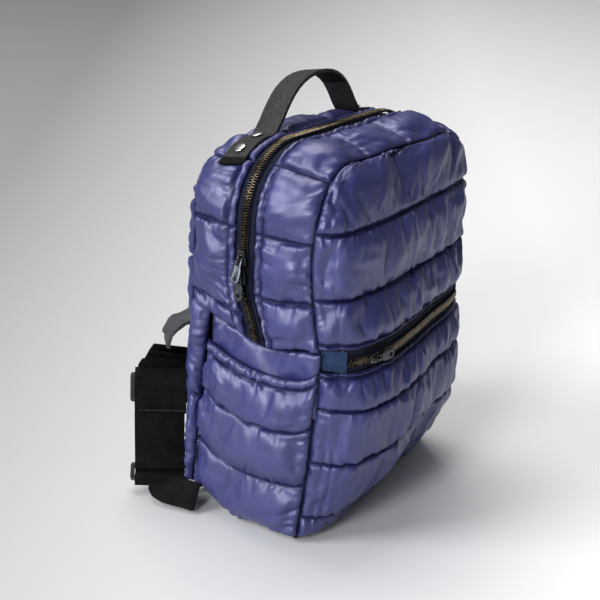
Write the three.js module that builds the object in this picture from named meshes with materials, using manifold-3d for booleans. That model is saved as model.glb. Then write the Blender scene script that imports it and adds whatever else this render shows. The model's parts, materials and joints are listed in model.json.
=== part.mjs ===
// Quilted puffer backpack, in millimetres. The front faces -Y, the shoulder straps hang behind at +Y,
// X runs across the width and the bag stands on its flat bottom at Z = 0.
import * as THREE from 'three'
import { mergeVertices } from 'three/addons/utils/BufferGeometryUtils.js'
import Module from 'manifold-3d'

const wasm = await Module()
wasm.setup()

// Case
const CASE_WIDTH = 224
const CASE_DEPTH = 113
const CASE_HEIGHT = 309
const TOP_CORNER = 50
const FOOT_HEIGHT = 165
const CLOTH = 3
const PUFF = 6
const SEAM_GAP = 0.3
const FLOOR_CLEARANCE = 3
const BOTTOM_THICKNESS = 9
const FRONT_BULGE = 44
const BACK_BULGE = 9
const TOP_CROWN = 8
const SIDE_CROWN = 5
const BOTTOM_RECEDE = 29

// Side pockets and the padded rolls behind them
const POCKET_WALL = 2.5
const POCKET_HEIGHT = 153
const POCKET_SWELL = 11
const POCKET_PUFF = 4.2
const SIDE_WALL = 2.5
const SIDE_INSET = 1
const ROLL_TOP_WIDTH = 16
const ROLL_BOTTOM_WIDTH = 6

// Zippers
const TAPE_WIDTH = 17.8
const TAPE_THICKNESS = 1
const TAPE_SINK = 1.6
const TEETH_WIDTH = 6
const TEETH_HEIGHT = 2
const ZIP_DEPTH_SHARE = 0.54
const ZIP_LEAN = 14
const TAB_LENGTH = 14
const SLIDER_LENGTH = 13
const SLIDER_WIDTH = 9.5
const SLIDER_THICKNESS = 2.4
const PULL_LENGTH = 20
const PULL_WIDTH = 8.5
const PULL_THICKNESS = 1.4
const PULL_HOLE_RADIUS = 1.7
const UPPER_PULL_TILT = 19
const UPPER_SLIDER_HEIGHT = 231
const SLIDER_PITCH = 14.5
const FRONT_SLIDER_ACROSS = -0.66
const FRONT_PULL_TILT = 3

// Handle
const HANDLE_WIDTH = 24
const HANDLE_THICKNESS = 3
const HANDLE_SPAN = 120
const HANDLE_RISE = 42
const HANDLE_FOOT = 38
const HANDLE_CENTRE_SHARE = 0.79
const HANDLE_TILT = 11.8
const HANDLE_END_SHARE = 0.75
const HANDLE_SEAT = 1.3
const RIVET_RADIUS = 4.8
const RIVET_HEIGHT = 1.6
const RIVET_PITCH = 19
const RIVET_START_SHARE = 0.2

// Shoulder straps
const STRAP_WIDTH = 28
const STRAP_THICKNESS = 3
const WEBBING_WIDTH = 40
const WEBBING_THICKNESS = 1.8
const STRAP_REACH = 33
const GLIDE_BAR = 4
const GLIDE_THICKNESS = 3
const GLIDE_SLOT = 7
const GLIDE_CORNER = 3
const RING_WIRE = 3.6
const RING_SLOT = 9
const BUCKLE_PLAY = 1.5
const ANCHOR_WIDTH = 24
const ANCHOR_THICKNESS = 2.5

const HALF = CASE_WIDTH / 2
const FRONT_Y = -55
const BACK_Y = FRONT_Y + CASE_DEPTH
const STRIP_FRONT_Y = FRONT_Y + CLOTH + SEAM_GAP
const STRIP_BACK_Y = BACK_Y - SEAM_GAP
const ARC_FOOT = CASE_HEIGHT - TOP_CORNER
const STRAIGHT = ARC_FOOT - FOOT_HEIGHT
const ARC_LENGTH = TOP_CORNER * Math.PI / 2
const STRIP_LENGTH = 2 * STRAIGHT + 2 * ARC_LENGTH + CASE_WIDTH - 2 * TOP_CORNER
const ZIP_HALF = TAPE_WIDTH / 2 + SEAM_GAP
const POCKET_INNER_X = HALF - SIDE_INSET + SEAM_GAP

const clamp01 = value => Math.min(1, Math.max(0, value))
const mix = (a, b, share) => a + (b - a) * share

// Reads a column of a table at a place along its key column, straight between rows.
function read(table, key, column, at) {
  if (at <= table[0][key]) return table[0][column]
  for (let i = 1; i < table.length; i++) {
    const low = table[i - 1]
    const high = table[i]
    if (at <= high[key]) return mix(low[column], high[column], (at - low[key]) / (high[key] - low[key]))
  }
  return table[table.length - 1][column]
}

// Tables: places and depths as shares of the named sizes.
const CROWN = [
  { depth: 0, top: 0, side: 0 },
  { depth: 0.22, top: 0.56, side: 0.8 },
  { depth: 0.54, top: 1, side: 1 },
  { depth: 0.68, top: 0.44, side: 0.7 },
  { depth: 0.9, top: -0.19, side: 0.25 },
  { depth: 1, top: -0.62, side: 0 },
]
const FRONT_SWELL_UP = [
  { height: 0, swell: 0.04 },
  { height: 0.075, swell: 0.4 },
  { height: 0.24, swell: 0.84 },
  { height: 0.4, swell: 1 },
  { height: 0.48, swell: 0.87 },
  { height: 0.57, swell: 0.8 },
  { height: 0.68, swell: 0.57 },
  { height: 0.85, swell: 0.45 },
  { height: 1, swell: 0 },
]
const FRONT_SWELL_ACROSS = [
  { across: -1, swell: 0 },
  { across: -0.93, swell: 0.45 },
  { across: -0.87, swell: 0.75 },
  { across: -0.75, swell: 0.93 },
  { across: -0.45, swell: 1 },
  { across: -0.1, swell: 0.86 },
  { across: 0.3, swell: 0.62 },
  { across: 0.7, swell: 0.4 },
  { across: 0.9, swell: 0.18 },
  { across: 1, swell: 0 },
]
const BACK_SWELL_UP = [
  { height: 0, swell: 0 },
  { height: 0.1, swell: 0.7 },
  { height: 0.5, swell: 1 },
  { height: 0.85, swell: 0.7 },
  { height: 1, swell: 0 },
]
const BACK_COLUMNS = [
  { across: -1, swell: 0 },
  { across: -0.94, swell: 0.6 },
  { across: -0.8, swell: 0.9 },
  { across: -0.4, swell: 1 },
  { across: 0, swell: 1 },
  { across: 0.4, swell: 1 },
  { across: 0.8, swell: 0.9 },
  { across: 0.94, swell: 0.6 },
  { across: 1, swell: 0 },
]
const POCKET_MOUTH = [
  { back: 0, height: 1 },
  { back: 0.1, height: 0.955 },
  { back: 0.45, height: 0.935 },
  { back: 0.75, height: 0.965 },
  { back: 1, height: 1 },
]
const POCKET_SWELL_UP = [
  { height: 0, swell: 0 },
  { height: 0.35, swell: 0.7 },
  { height: 0.7, swell: 1 },
  { height: 1, swell: 0.65 },
]
const POCKET_SWELL_BACK = [
  { back: 0, swell: 0 },
  { back: 0.15, swell: 0.6 },
  { back: 0.5, swell: 1 },
  { back: 0.85, swell: 0.6 },
  { back: 1, swell: 0 },
]
const FRONT_SEAMS = [0.01, 0.075, 0.24, 0.395, 0.482, 0.495, 0.553, 0.567, 0.68, 0.848, 1]
const BACK_SEAMS = [0.01, 0.19, 0.36, 0.53, 0.7, 0.86, 1]
const STRIP_SEAMS = [0, 0.083, 0.187, 0.298, 0.418, 0.544, 0.678, 0.787, 0.896, 1]
const POCKET_SEAMS = [0, 0.333, 0.68, 0.93, 1]
const ROLL_SEAMS = [0, 0.5, 1]
const PUFF_STEPS = [0, 0.2, 0.5, 0.8]
const NARROW_SPAN = 0.03
const FRONT_ZIP_HEIGHT = (FRONT_SEAMS[5] + FRONT_SEAMS[6]) / 2 * CASE_HEIGHT
const ZIP_LEAN_LENGTH = STRIP_SEAMS[1] * STRIP_LENGTH

// Rounded swelling of the padding between two seams of a list.
function padding(at, seams) {
  for (let i = 1; i < seams.length; i++) {
    const span = seams[i] - seams[i - 1]
    if (at <= seams[i]) {
      const share = clamp01((at - seams[i - 1]) / span)
      return span < NARROW_SPAN ? 0 : Math.sqrt(4 * share * (1 - share))
    }
  }
  return 0
}

// Places of the mesh rows: a few in each padded channel between two seams.
function rowsBetween(seams, from, to) {
  const rows = []
  for (let i = 1; i < seams.length; i++) {
    if (seams[i - 1] < from - 1e-6 || seams[i] > to + 1e-6) continue
    const steps = seams[i] - seams[i - 1] < NARROW_SPAN ? [0] : PUFF_STEPS
    for (const step of steps) rows.push(mix(seams[i - 1], seams[i], step))
  }
  rows.push(to)
  return rows
}

// Closed mesh from vertices and triangles, turned to face out.
function solid(vertices, triangles) {
  const corners = vertices.flatMap(v => [v.x, v.y, v.z])
  let volume = 0
  for (const [a, b, c] of triangles) {
    const normal = new THREE.Vector3().crossVectors(vertices[b], vertices[c])
    volume += vertices[a].dot(normal)
  }
  const index = triangles.flatMap(([a, b, c]) => volume > 0 ? [a, b, c] : [a, c, b])
  const geometry = new THREE.BufferGeometry()
  geometry.setAttribute('position', new THREE.Float32BufferAttribute(corners, 3))
  geometry.setIndex(index)
  return geometry
}

// Lofts closed sections of equal point counts and caps both ends. Opposite faces are split along
// matching diagonals, so that a twisted band keeps its thickness.
function loft(sections) {
  const count = sections[0].length
  const vertices = sections.flat()
  const triangles = []
  for (let i = 1; i < sections.length; i++) {
    for (let j = 0; j < count; j++) {
      const a = (i - 1) * count + j
      const b = (i - 1) * count + (j + 1) % count
      const c = a + count
      const d = b + count
      if (j < count / 2) triangles.push([a, b, d], [a, d, c])
      else triangles.push([a, b, c], [b, d, c])
    }
  }
  const last = (sections.length - 1) * count
  for (let j = 1; j < count - 1; j++) {
    triangles.push([0, j + 1, j], [last, last + j, last + j + 1])
  }
  return solid(vertices, triangles)
}

// Padded cloth wall between an outer and an inner surface over rows and columns.
function wall(rows, columns, outer, inner) {
  const sections = rows.map(row => {
    const out = columns.map(column => outer(row, column))
    const back = columns.map(column => inner(row, column))
    return [...out, ...back.reverse()]
  })
  const count = columns.length
  const vertices = sections.flat()
  const ring = 2 * count
  const triangles = []
  for (let i = 1; i < sections.length; i++) {
    for (let j = 0; j < ring; j++) {
      const a = (i - 1) * ring + j
      const b = (i - 1) * ring + (j + 1) % ring
      triangles.push([a, b, b + ring], [a, b + ring, a + ring])
    }
  }
  for (const [base, flip] of [[0, true], [(sections.length - 1) * ring, false]]) {
    for (let j = 0; j < count - 1; j++) {
      const a = base + j
      const b = base + j + 1
      const c = base + ring - 1 - j
      const d = base + ring - 2 - j
      if (flip) triangles.push([a, c, d], [a, d, b])
      else triangles.push([a, d, c], [a, b, d])
    }
  }
  return solid(vertices, triangles)
}

// Height of the seam where the top strip meets the side wall, at a depth.
const FOOT_LINE = [
  { y: STRIP_FRONT_Y, rise: 0.018 },
  { y: zipY(0) - ZIP_HALF, rise: -0.024 },
  { y: zipY(0) + ZIP_HALF, rise: 0.006 },
  { y: STRIP_BACK_Y, rise: 0.079 },
]
const footHeight = y => FOOT_HEIGHT * (1 + read(FOOT_LINE, 'y', 'rise', y))

// Middle of the main zipper along the strip: it leans forward towards its ends.
function zipY(along) {
  const fromEnd = Math.min(along, STRIP_LENGTH - along)
  return FRONT_Y + ZIP_DEPTH_SHARE * CASE_DEPTH - ZIP_LEAN * (1 - clamp01(fromEnd / ZIP_LEAN_LENGTH))
}

// Point of the case's outline at a distance along the strip and a depth, lifted off it by some height.
function rim(along, y, lift) {
  const fromEnd = Math.min(along, STRIP_LENGTH - along)
  const side = along > STRIP_LENGTH / 2 ? 1 : -1
  const turn = clamp01((fromEnd - STRAIGHT) / ARC_LENGTH) * Math.PI / 2
  const foot = footHeight(y)
  const straightShare = clamp01(fromEnd / STRAIGHT)
  const flat = Math.max(0, fromEnd - STRAIGHT - ARC_LENGTH)
  const depth = clamp01((y - FRONT_Y) / CASE_DEPTH)
  const topLift = TOP_CROWN * read(CROWN, 'depth', 'top', depth)
  const sideLift = SIDE_CROWN * read(CROWN, 'depth', 'side', depth)
  const out = mix(sideLift, topLift, Math.sin(turn) ** 2) + lift
  const reach = HALF - TOP_CORNER - flat + (TOP_CORNER + out) * Math.cos(turn)
  const height = mix(foot, ARC_FOOT, straightShare) + (TOP_CORNER + out) * Math.sin(turn)
  return new THREE.Vector3(side * reach, y, height)
}

function rimNormal(along) {
  const fromEnd = Math.min(along, STRIP_LENGTH - along)
  const side = along > STRIP_LENGTH / 2 ? 1 : -1
  const turn = clamp01((fromEnd - STRAIGHT) / ARC_LENGTH) * Math.PI / 2
  return new THREE.Vector3(side * Math.cos(turn), 0, Math.sin(turn))
}

// How far the front panel's lower edge draws back towards the right.
function recede(x, z) {
  return BOTTOM_RECEDE * clamp01((x + HALF) / CASE_WIDTH) * clamp01(1 - z / (FRONT_SEAMS[2] * CASE_HEIGHT))
}

// Half width and height of a panel row: straight below the corner arcs, round through them.
function panelRow(height, y) {
  if (height <= ARC_FOOT) return { half: HALF, z: height }
  const turn = Math.asin(clamp01((height - ARC_FOOT) / TOP_CORNER))
  const point = rim(STRAIGHT + turn * TOP_CORNER, y, 0)
  return { half: -point.x, z: point.z }
}

function frontBase(across, x, z) {
  const swell = read(FRONT_SWELL_UP, 'height', 'swell', z / CASE_HEIGHT)
  const share = read(FRONT_SWELL_ACROSS, 'across', 'swell', across)
  return FRONT_Y + recede(x, z) - FRONT_BULGE * swell * share
}

function frontPanel(fromShare, toShare) {
  const rows = rowsBetween(FRONT_SEAMS, fromShare, toShare).map(share => share * CASE_HEIGHT)
  const columns = FRONT_SWELL_ACROSS.map(row => row.across)
  const place = (height, across, lift) => {
    const row = panelRow(height, FRONT_Y)
    const x = across * row.half
    return new THREE.Vector3(x, frontBase(across, x, row.z) + lift, row.z)
  }
  const outer = (height, across) => {
    const puff = PUFF * padding(height / CASE_HEIGHT, FRONT_SEAMS) * (1 - across ** 8)
    return place(height, across, -puff)
  }
  return wall(rows, columns, outer, (height, across) => place(height, across, CLOTH))
}

function backPanel() {
  const rows = rowsBetween(BACK_SEAMS, BACK_SEAMS[0], 1).map(share => share * CASE_HEIGHT)
  const place = (height, column, lift) => {
    const row = panelRow(height, BACK_Y)
    const swell = BACK_BULGE * column.swell * read(BACK_SWELL_UP, 'height', 'swell', height / CASE_HEIGHT)
    return new THREE.Vector3(column.across * row.half, BACK_Y + swell + lift, row.z)
  }
  const outer = (height, column) => {
    const puff = PUFF * padding(height / CASE_HEIGHT, BACK_SEAMS) * (1 - column.across ** 8)
    return place(height, column, CLOTH + puff)
  }
  return wall(rows, BACK_COLUMNS, outer, (height, column) => place(height, column, 0))
}

// Half of the top and side strip: in front of the main zipper, or behind it and flat under the handle.
function topStrip(front) {
  const rows = rowsBetween(STRIP_SEAMS, 0, 1).map(share => share * STRIP_LENGTH)
  const columns = front ? [0, 0.12, 0.5, 0.86, 1] : [0, 0.16, 0.45, 0.75, 1]
  const depthAt = (along, column) => {
    if (front) return mix(STRIP_FRONT_Y, zipY(along) - ZIP_HALF, column)
    return mix(zipY(along) + ZIP_HALF, STRIP_BACK_Y, column)
  }
  const outer = (along, column) => {
    const y = depthAt(along, column)
    const x = rim(along, y, 0).x
    const underHandle = !front && Math.abs(x) < HANDLE_SPAN / 2 + HANDLE_FOOT + RIVET_PITCH / 2
    const handleShare = underHandle && along > STRAIGHT && along < STRIP_LENGTH - STRAIGHT ? 0 : 1
    const puff = PUFF * padding(along / STRIP_LENGTH, STRIP_SEAMS) * Math.sqrt(4 * column * (1 - column))
    return rim(along, y, puff * handleShare)
  }
  return wall(rows, columns, outer, (along, column) => rim(along, depthAt(along, column), -CLOTH))
}

const rollFront = z => STRIP_BACK_Y - mix(ROLL_BOTTOM_WIDTH, ROLL_TOP_WIDTH, z / FOOT_HEIGHT)

function sideFrontEdge(side, z) {
  return FRONT_Y + recede(side * HALF, z) + CLOTH + SEAM_GAP
}

function sidePanel(side) {
  const rows = [0, 0.25, 0.5, 0.75, 1]
  const lean = zipY(0)
  const columns = [0, 1, 2, 3, 4]
  const place = (row, column, x) => {
    const depths = z => [
      sideFrontEdge(side, z),
      lean - ZIP_HALF,
      lean + ZIP_HALF,
      mix(lean + ZIP_HALF, rollFront(z), 0.5),
      rollFront(z) - SEAM_GAP,
    ]
    const top = footHeight(depths(FOOT_HEIGHT)[column]) - SEAM_GAP
    const z = mix(FLOOR_CLEARANCE, top, row)
    return new THREE.Vector3(side * x, depths(z)[column], z)
  }
  const outer = (row, column) => place(row, column, HALF - SIDE_INSET)
  return wall(rows, columns, outer, (row, column) => place(row, column, HALF - SIDE_INSET - SIDE_WALL))
}

function sidePocket(side) {
  const rows = rowsBetween(POCKET_SEAMS, 0, 1)
  const columns = POCKET_SWELL_BACK
  const place = (row, column, lift) => {
    const mouth = POCKET_HEIGHT * read(POCKET_MOUTH, 'back', 'height', column.back)
    const z = mix(FLOOR_CLEARANCE, mouth, row)
    const y = mix(sideFrontEdge(side, z), rollFront(z) - SEAM_GAP, column.back)
    const swell = POCKET_SWELL * column.swell * read(POCKET_SWELL_UP, 'height', 'swell', row)
    return new THREE.Vector3(side * (POCKET_INNER_X + swell + lift), y, z)
  }
  const outer = (row, column) => {
    const edge = 4 * column.back * (1 - column.back)
    return place(row, column, POCKET_WALL + POCKET_PUFF * padding(row, POCKET_SEAMS) * Math.sqrt(edge))
  }
  return wall(rows, columns, outer, (row, column) => place(row, column, 0))
}

// Padded roll where the back panel's edge wraps round onto the side.
function backRoll(side) {
  const rows = rowsBetween(ROLL_SEAMS, 0, 1)
  const columns = [0, 0.3, 0.7, 1]
  const place = (row, column, lift) => {
    const top = footHeight(mix(rollFront(FOOT_HEIGHT), STRIP_BACK_Y, column)) - SEAM_GAP
    const z = mix(FLOOR_CLEARANCE, top, row)
    const y = mix(rollFront(z), STRIP_BACK_Y, column)
    return new THREE.Vector3(side * (HALF + lift), y, z)
  }
  const outer = (row, column) => {
    return place(row, column, PUFF * padding(row, ROLL_SEAMS) * Math.sqrt(4 * column * (1 - column)))
  }
  return wall(rows, columns, outer, (row, column) => place(row, column, -CLOTH))
}

// Flat bottom inside the four walls, with its lower edge eased.
function bottomPanel() {
  const edge = HALF - SIDE_INSET - SIDE_WALL - SEAM_GAP
  const ease = BOTTOM_THICKNESS / 3
  const section = (inset, z) => {
    const front = x => FRONT_Y + recede(x, 0) + CLOTH + SEAM_GAP + inset
    const corners = [
      [-edge + inset, front(-edge)],
      [edge - inset, front(edge)],
      [edge - inset, STRIP_BACK_Y - inset],
      [-edge + inset, STRIP_BACK_Y - inset],
    ]
    return corners.map(([x, y]) => new THREE.Vector3(x, y, z))
  }
  return loft([section(ease, 0), section(0, ease), section(0, BOTTOM_THICKNESS)])
}

// Flat band of a width and thickness through frames that give its middle, width and face directions.
function band(frames, width, thickness, ends = [1, 1]) {
  const sections = frames.map((frame, i) => {
    const share = i === 0 ? ends[0] : i === frames.length - 1 ? ends[1] : 1
    const half = frame.across.clone().multiplyScalar(width * share / 2)
    const up = frame.face.clone().multiplyScalar(thickness / 2)
    const at = (a, b) => frame.middle.clone().addScaledVector(half, a).addScaledVector(up, b)
    return [at(-1, -1), at(1, -1), at(1, 1), at(-1, 1)]
  })
  return loft(sections)
}

// Places along the strip for the zipper: even steps, closer round the corners.
function stripSteps() {
  const steps = []
  for (const fromEnd of [0, 0.25, 0.5, 0.75]) steps.push(fromEnd * ZIP_LEAN_LENGTH)
  steps.push(ZIP_LEAN_LENGTH)
  for (let i = 0; i <= 8; i++) steps.push(STRAIGHT + i / 8 * ARC_LENGTH)
  return [...steps, ...steps.toReversed().map(step => STRIP_LENGTH - step)]
}

function mainZipBand(width, thickness, lift) {
  const frames = stripSteps().map(along => {
    const y = zipY(along)
    const face = rimNormal(along)
    const edges = [y - width / 2, y + width / 2].map(depth => rim(along, depth, lift))
    const middle = edges[0].clone().add(edges[1]).multiplyScalar(0.5)
    const across = edges[1].clone().sub(edges[0]).divideScalar(width)
    return { middle, across, face }
  })
  return band(frames, width, thickness)
}

function frontZipPoint(across, lift) {
  const x = across * HALF
  const base = frontBase(across, x, FRONT_ZIP_HEIGHT)
  return new THREE.Vector3(x, base + lift, FRONT_ZIP_HEIGHT)
}

function frontZipBand(from, to, width, thickness, lift) {
  const inside = FRONT_SWELL_ACROSS.map(row => row.across).filter(across => across > from && across < to)
  const frames = [from, ...inside, to].map(across => ({
    middle: frontZipPoint(across, lift),
    across: new THREE.Vector3(0, 0, 1),
    face: new THREE.Vector3(0, -1, 0),
  }))
  return band(frames, width, thickness)
}

// The same triangles with each vertex held once.
function joinedVertices(geometry) {
  const bare = geometry.clone()
  bare.deleteAttribute('normal')
  bare.deleteAttribute('uv')
  return mergeVertices(bare, 1e-4)
}

// Joins closed geometries into one solid.
function fuse(geometries) {
  const solids = geometries.map(geometry => {
    const merged = joinedVertices(geometry)
    return new wasm.Manifold(new wasm.Mesh({
      numProp: 3,
      vertProperties: merged.attributes.position.array,
      triVerts: Uint32Array.from(merged.index.array),
    }))
  })
  const joined = solids.reduce((total, next) => total.add(next))
  const mesh = joined.getMesh()
  const geometry = new THREE.BufferGeometry()
  geometry.setAttribute('position', new THREE.BufferAttribute(Float32Array.from(mesh.vertProperties), 3))
  geometry.setIndex(new THREE.BufferAttribute(Uint32Array.from(mesh.triVerts), 1))
  return geometry
}

function extrudeFlat(shape, depth, curveSegments = 6) {
  return new THREE.ExtrudeGeometry(shape, { depth, bevelEnabled: false, curveSegments })
}

function roundedShape(x0, y0, x1, y1, radius) {
  const shape = new THREE.Shape()
  shape.moveTo(x0 + radius, y0)
  shape.lineTo(x1 - radius, y0)
  shape.quadraticCurveTo(x1, y0, x1, y0 + radius)
  shape.lineTo(x1, y1 - radius)
  shape.quadraticCurveTo(x1, y1, x1 - radius, y1)
  shape.lineTo(x0 + radius, y1)
  shape.quadraticCurveTo(x0, y1, x0, y1 - radius)
  shape.lineTo(x0, y0 + radius)
  shape.quadraticCurveTo(x0, y0, x0 + radius, y0)
  return shape
}

// Slider and pull share a frame: X along the zipper, Z out of it, the hinge pin's middle at the origin.
const PIN_HALF = 0.9
const PIN_SWEEP = Math.hypot(PIN_HALF, PULL_THICKNESS / 2)
const PIN_HEIGHT = PIN_SWEEP + 0.2
const BAIL_WIDTH = 2.2
const BAIL_LEG = 1.1
const BAIL_INNER = PIN_SWEEP + 0.5
const BAIL_OUTER = BAIL_INNER + BAIL_LEG
const PULL_WINDOW = { half: BAIL_WIDTH / 2 + 0.6, end: 5.4 }
const SLIDER_LIFT = SLIDER_THICKNESS + PIN_HEIGHT

function sliderGeometry() {
  const half = SLIDER_WIDTH / 2
  const plateShape = new THREE.Shape()
  plateShape.moveTo(-SLIDER_LENGTH / 2, -0.68 * half)
  plateShape.lineTo(0.1 * SLIDER_LENGTH, -half)
  plateShape.lineTo(0.42 * SLIDER_LENGTH, -half)
  plateShape.lineTo(SLIDER_LENGTH / 2, -0.6 * half)
  plateShape.lineTo(SLIDER_LENGTH / 2, 0.6 * half)
  plateShape.lineTo(0.42 * SLIDER_LENGTH, half)
  plateShape.lineTo(0.1 * SLIDER_LENGTH, half)
  plateShape.lineTo(-SLIDER_LENGTH / 2, 0.68 * half)
  const plate = extrudeFlat(plateShape, SLIDER_THICKNESS).translate(0, 0, -SLIDER_LIFT)
  const bailShape = new THREE.Shape()
  const foot = -PIN_HEIGHT - SLIDER_THICKNESS / 2
  bailShape.moveTo(-BAIL_OUTER, foot)
  bailShape.lineTo(-BAIL_OUTER, PIN_SWEEP)
  bailShape.quadraticCurveTo(-BAIL_OUTER, BAIL_OUTER, 0, BAIL_OUTER)
  bailShape.quadraticCurveTo(BAIL_OUTER, BAIL_OUTER, BAIL_OUTER, PIN_SWEEP)
  bailShape.lineTo(BAIL_OUTER, foot)
  bailShape.lineTo(BAIL_INNER, foot)
  bailShape.lineTo(BAIL_INNER, PIN_SWEEP)
  bailShape.quadraticCurveTo(BAIL_INNER, BAIL_INNER, 0, BAIL_INNER)
  bailShape.quadraticCurveTo(-BAIL_INNER, BAIL_INNER, -BAIL_INNER, PIN_SWEEP)
  bailShape.lineTo(-BAIL_INNER, foot)
  const bail = extrudeFlat(bailShape, BAIL_WIDTH, 4).rotateX(Math.PI / 2).translate(0, BAIL_WIDTH / 2, 0)
  return fuse([plate, bail])
}

function pullGeometry() {
  const half = PULL_WIDTH / 2
  const neck = PULL_WINDOW.half + 1.2
  const shape = new THREE.Shape()
  shape.moveTo(-PIN_HALF, -neck)
  shape.lineTo(PULL_WINDOW.end, -neck)
  shape.lineTo(0.45 * PULL_LENGTH, -half)
  shape.lineTo(PULL_LENGTH - half, -half)
  shape.absarc(PULL_LENGTH - half, 0, half, -Math.PI / 2, Math.PI / 2, false)
  shape.lineTo(0.45 * PULL_LENGTH, half)
  shape.lineTo(PULL_WINDOW.end, neck)
  shape.lineTo(-PIN_HALF, neck)
  const windowHole = new THREE.Path()
  windowHole.moveTo(PIN_HALF, -PULL_WINDOW.half)
  windowHole.lineTo(PIN_HALF, PULL_WINDOW.half)
  windowHole.lineTo(PULL_WINDOW.end, PULL_WINDOW.half)
  windowHole.lineTo(PULL_WINDOW.end, -PULL_WINDOW.half)
  const roundHole = new THREE.Path()
  roundHole.absarc(PULL_LENGTH - half, 0, PULL_HOLE_RADIUS, 0, 2 * Math.PI, true)
  shape.holes.push(windowHole, roundHole)
  return extrudeFlat(shape, PULL_THICKNESS).translate(0, 0, -PULL_THICKNESS / 2)
}

// Handle: feet that follow the strip's top and an arch between them.
const HANDLE_ARCH = [
  { span: 0.5, rise: 0 },
  { span: 0.43, rise: 0.2 },
  { span: 0.35, rise: 0.52 },
  { span: 0.26, rise: 0.78 },
  { span: 0.14, rise: 0.95 },
]
const HANDLE_Y = FRONT_Y + HANDLE_CENTRE_SHARE * CASE_DEPTH
const HANDLE_TILT_ANGLE = HANDLE_TILT * Math.PI / 180
const HALF_FLAT = HALF - TOP_CORNER

// Distance along the strip at which a left-hand foot point lies.
function alongAtX(x) {
  const beyond = -x - HALF_FLAT
  if (beyond <= 0) return STRAIGHT + ARC_LENGTH - beyond
  return STRAIGHT + TOP_CORNER * Math.acos(beyond / TOP_CORNER)
}

function handleFootPoint(x, lift) {
  const along = alongAtX(x)
  const point = rim(along, HANDLE_Y, 0)
  return point.addScaledVector(rimNormal(along), lift)
}

function handleFrames() {
  const lift = HANDLE_SEAT + HANDLE_THICKNESS / 2
  const left = []
  for (const share of [1, 0.88, 0.6, 0.3]) {
    left.push(handleFootPoint(-HANDLE_SPAN / 2 - share * HANDLE_FOOT, lift))
  }
  const base = handleFootPoint(-HANDLE_SPAN / 2, lift).z
  for (const row of HANDLE_ARCH) {
    left.push(new THREE.Vector3(-row.span * HANDLE_SPAN, HANDLE_Y, base + row.rise * HANDLE_RISE))
  }
  const right = left.toReversed().map(point => new THREE.Vector3(-point.x, point.y, point.z))
  const crown = new THREE.Vector3(0, HANDLE_Y, base + HANDLE_RISE)
  const curve = new THREE.CatmullRomCurve3([...left, crown, ...right], false, 'centripetal')
  const across = new THREE.Vector3(0, Math.cos(HANDLE_TILT_ANGLE), -Math.sin(HANDLE_TILT_ANGLE))
  const shares = [0, 0.012, 0.04]
  for (let i = 2; i <= 36; i++) shares.push(i / 38)
  shares.push(0.96, 0.988, 1)
  return shares.map(share => {
    const tangent = curve.getTangent(share)
    const face = new THREE.Vector3().crossVectors(tangent, across).negate().normalize()
    return { middle: curve.getPoint(share), across, face }
  })
}

function rivetGeometry() {
  const profile = [
    new THREE.Vector2(0, 0),
    new THREE.Vector2(RIVET_RADIUS, 0),
    new THREE.Vector2(RIVET_RADIUS, 0.4 * RIVET_HEIGHT),
    new THREE.Vector2(0.7 * RIVET_RADIUS, RIVET_HEIGHT),
    new THREE.Vector2(0, RIVET_HEIGHT),
  ]
  return new THREE.LatheGeometry(profile, 14).rotateX(Math.PI / 2)
}

// Shoulder straps, for the left side. Places are shares: out of half the width, back of the strap's
// reach behind the back, up of the case height. The last three columns give the band's width direction.
const STRAP_ROUTE = [
  { out: 0.36, back: 0.405, up: 0.94, wx: 1, wy: 0, wz: 0 },
  { out: 0.36, back: 0.62, up: 0.85, wx: 1, wy: 0.05, wz: 0 },
  { out: 0.39, back: 0.83, up: 0.7, wx: 1, wy: 0.15, wz: 0 },
  { out: 0.53, back: 0.88, up: 0.56, wx: 0.95, wy: 0.35, wz: 0 },
  { out: 0.72, back: 0.91, up: 0.497, wx: 0.8, wy: 0.6, wz: 0.05 },
  { out: 0.87, back: 0.95, up: 0.478, wx: 0.75, wy: 0.66, wz: 0.05 },
  { out: 0.96, back: 0.96, up: 0.455, wx: 0.7, wy: 0.7, wz: 0 },
  { out: 0.97, back: 0.96, up: 0.429, wx: 0.7, wy: 0.7, wz: 0 },
]
const WEBBING_ROUTE = [
  { out: 0.93, back: 0.95, up: 0.42, wx: -1, wy: 0.1 },
  { out: 0.98, back: 0.97, up: 0.37, wx: -0.85, wy: 0.5 },
  { out: 1.02, back: 1, up: 0.305, wx: -0.63, wy: 0.78 },
  { out: 1.03, back: 1, up: 0.235, wx: -0.63, wy: 0.78 },
  { out: 1.02, back: 1.02, up: 0.16, wx: -0.63, wy: 0.78 },
  { out: 1.01, back: 1.04, up: 0.1, wx: -0.63, wy: 0.78 },
  { out: 1, back: 1.05, up: 0.065, wx: -0.63, wy: 0.78 },
]
const ANCHOR_ROUTE = [
  { out: 1.125, back: -0.55, up: 0.044, wx: 0.5, wy: 0.05, wz: 0.86 },
  { out: 1.15, back: -0.1, up: 0.044, wx: 0.55, wy: 0.1, wz: 0.83 },
  { out: 1.165, back: 0.3, up: 0.042, wx: 0.65, wy: 0, wz: 0.65 },
  { out: 1.14, back: 0.56, up: 0.038, wx: 0.65, wy: -0.4, wz: 0.3 },
  { out: 1.078, back: 0.69, up: 0.035, wx: 0.63, wy: -0.78, wz: 0 },
]
const WEBBING_ACROSS = new THREE.Vector3(-0.63, 0.78, 0).normalize()

function routePoint(row) {
  return new THREE.Vector3(-row.out * HALF, BACK_Y + row.back * STRAP_REACH, row.up * CASE_HEIGHT)
}

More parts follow.
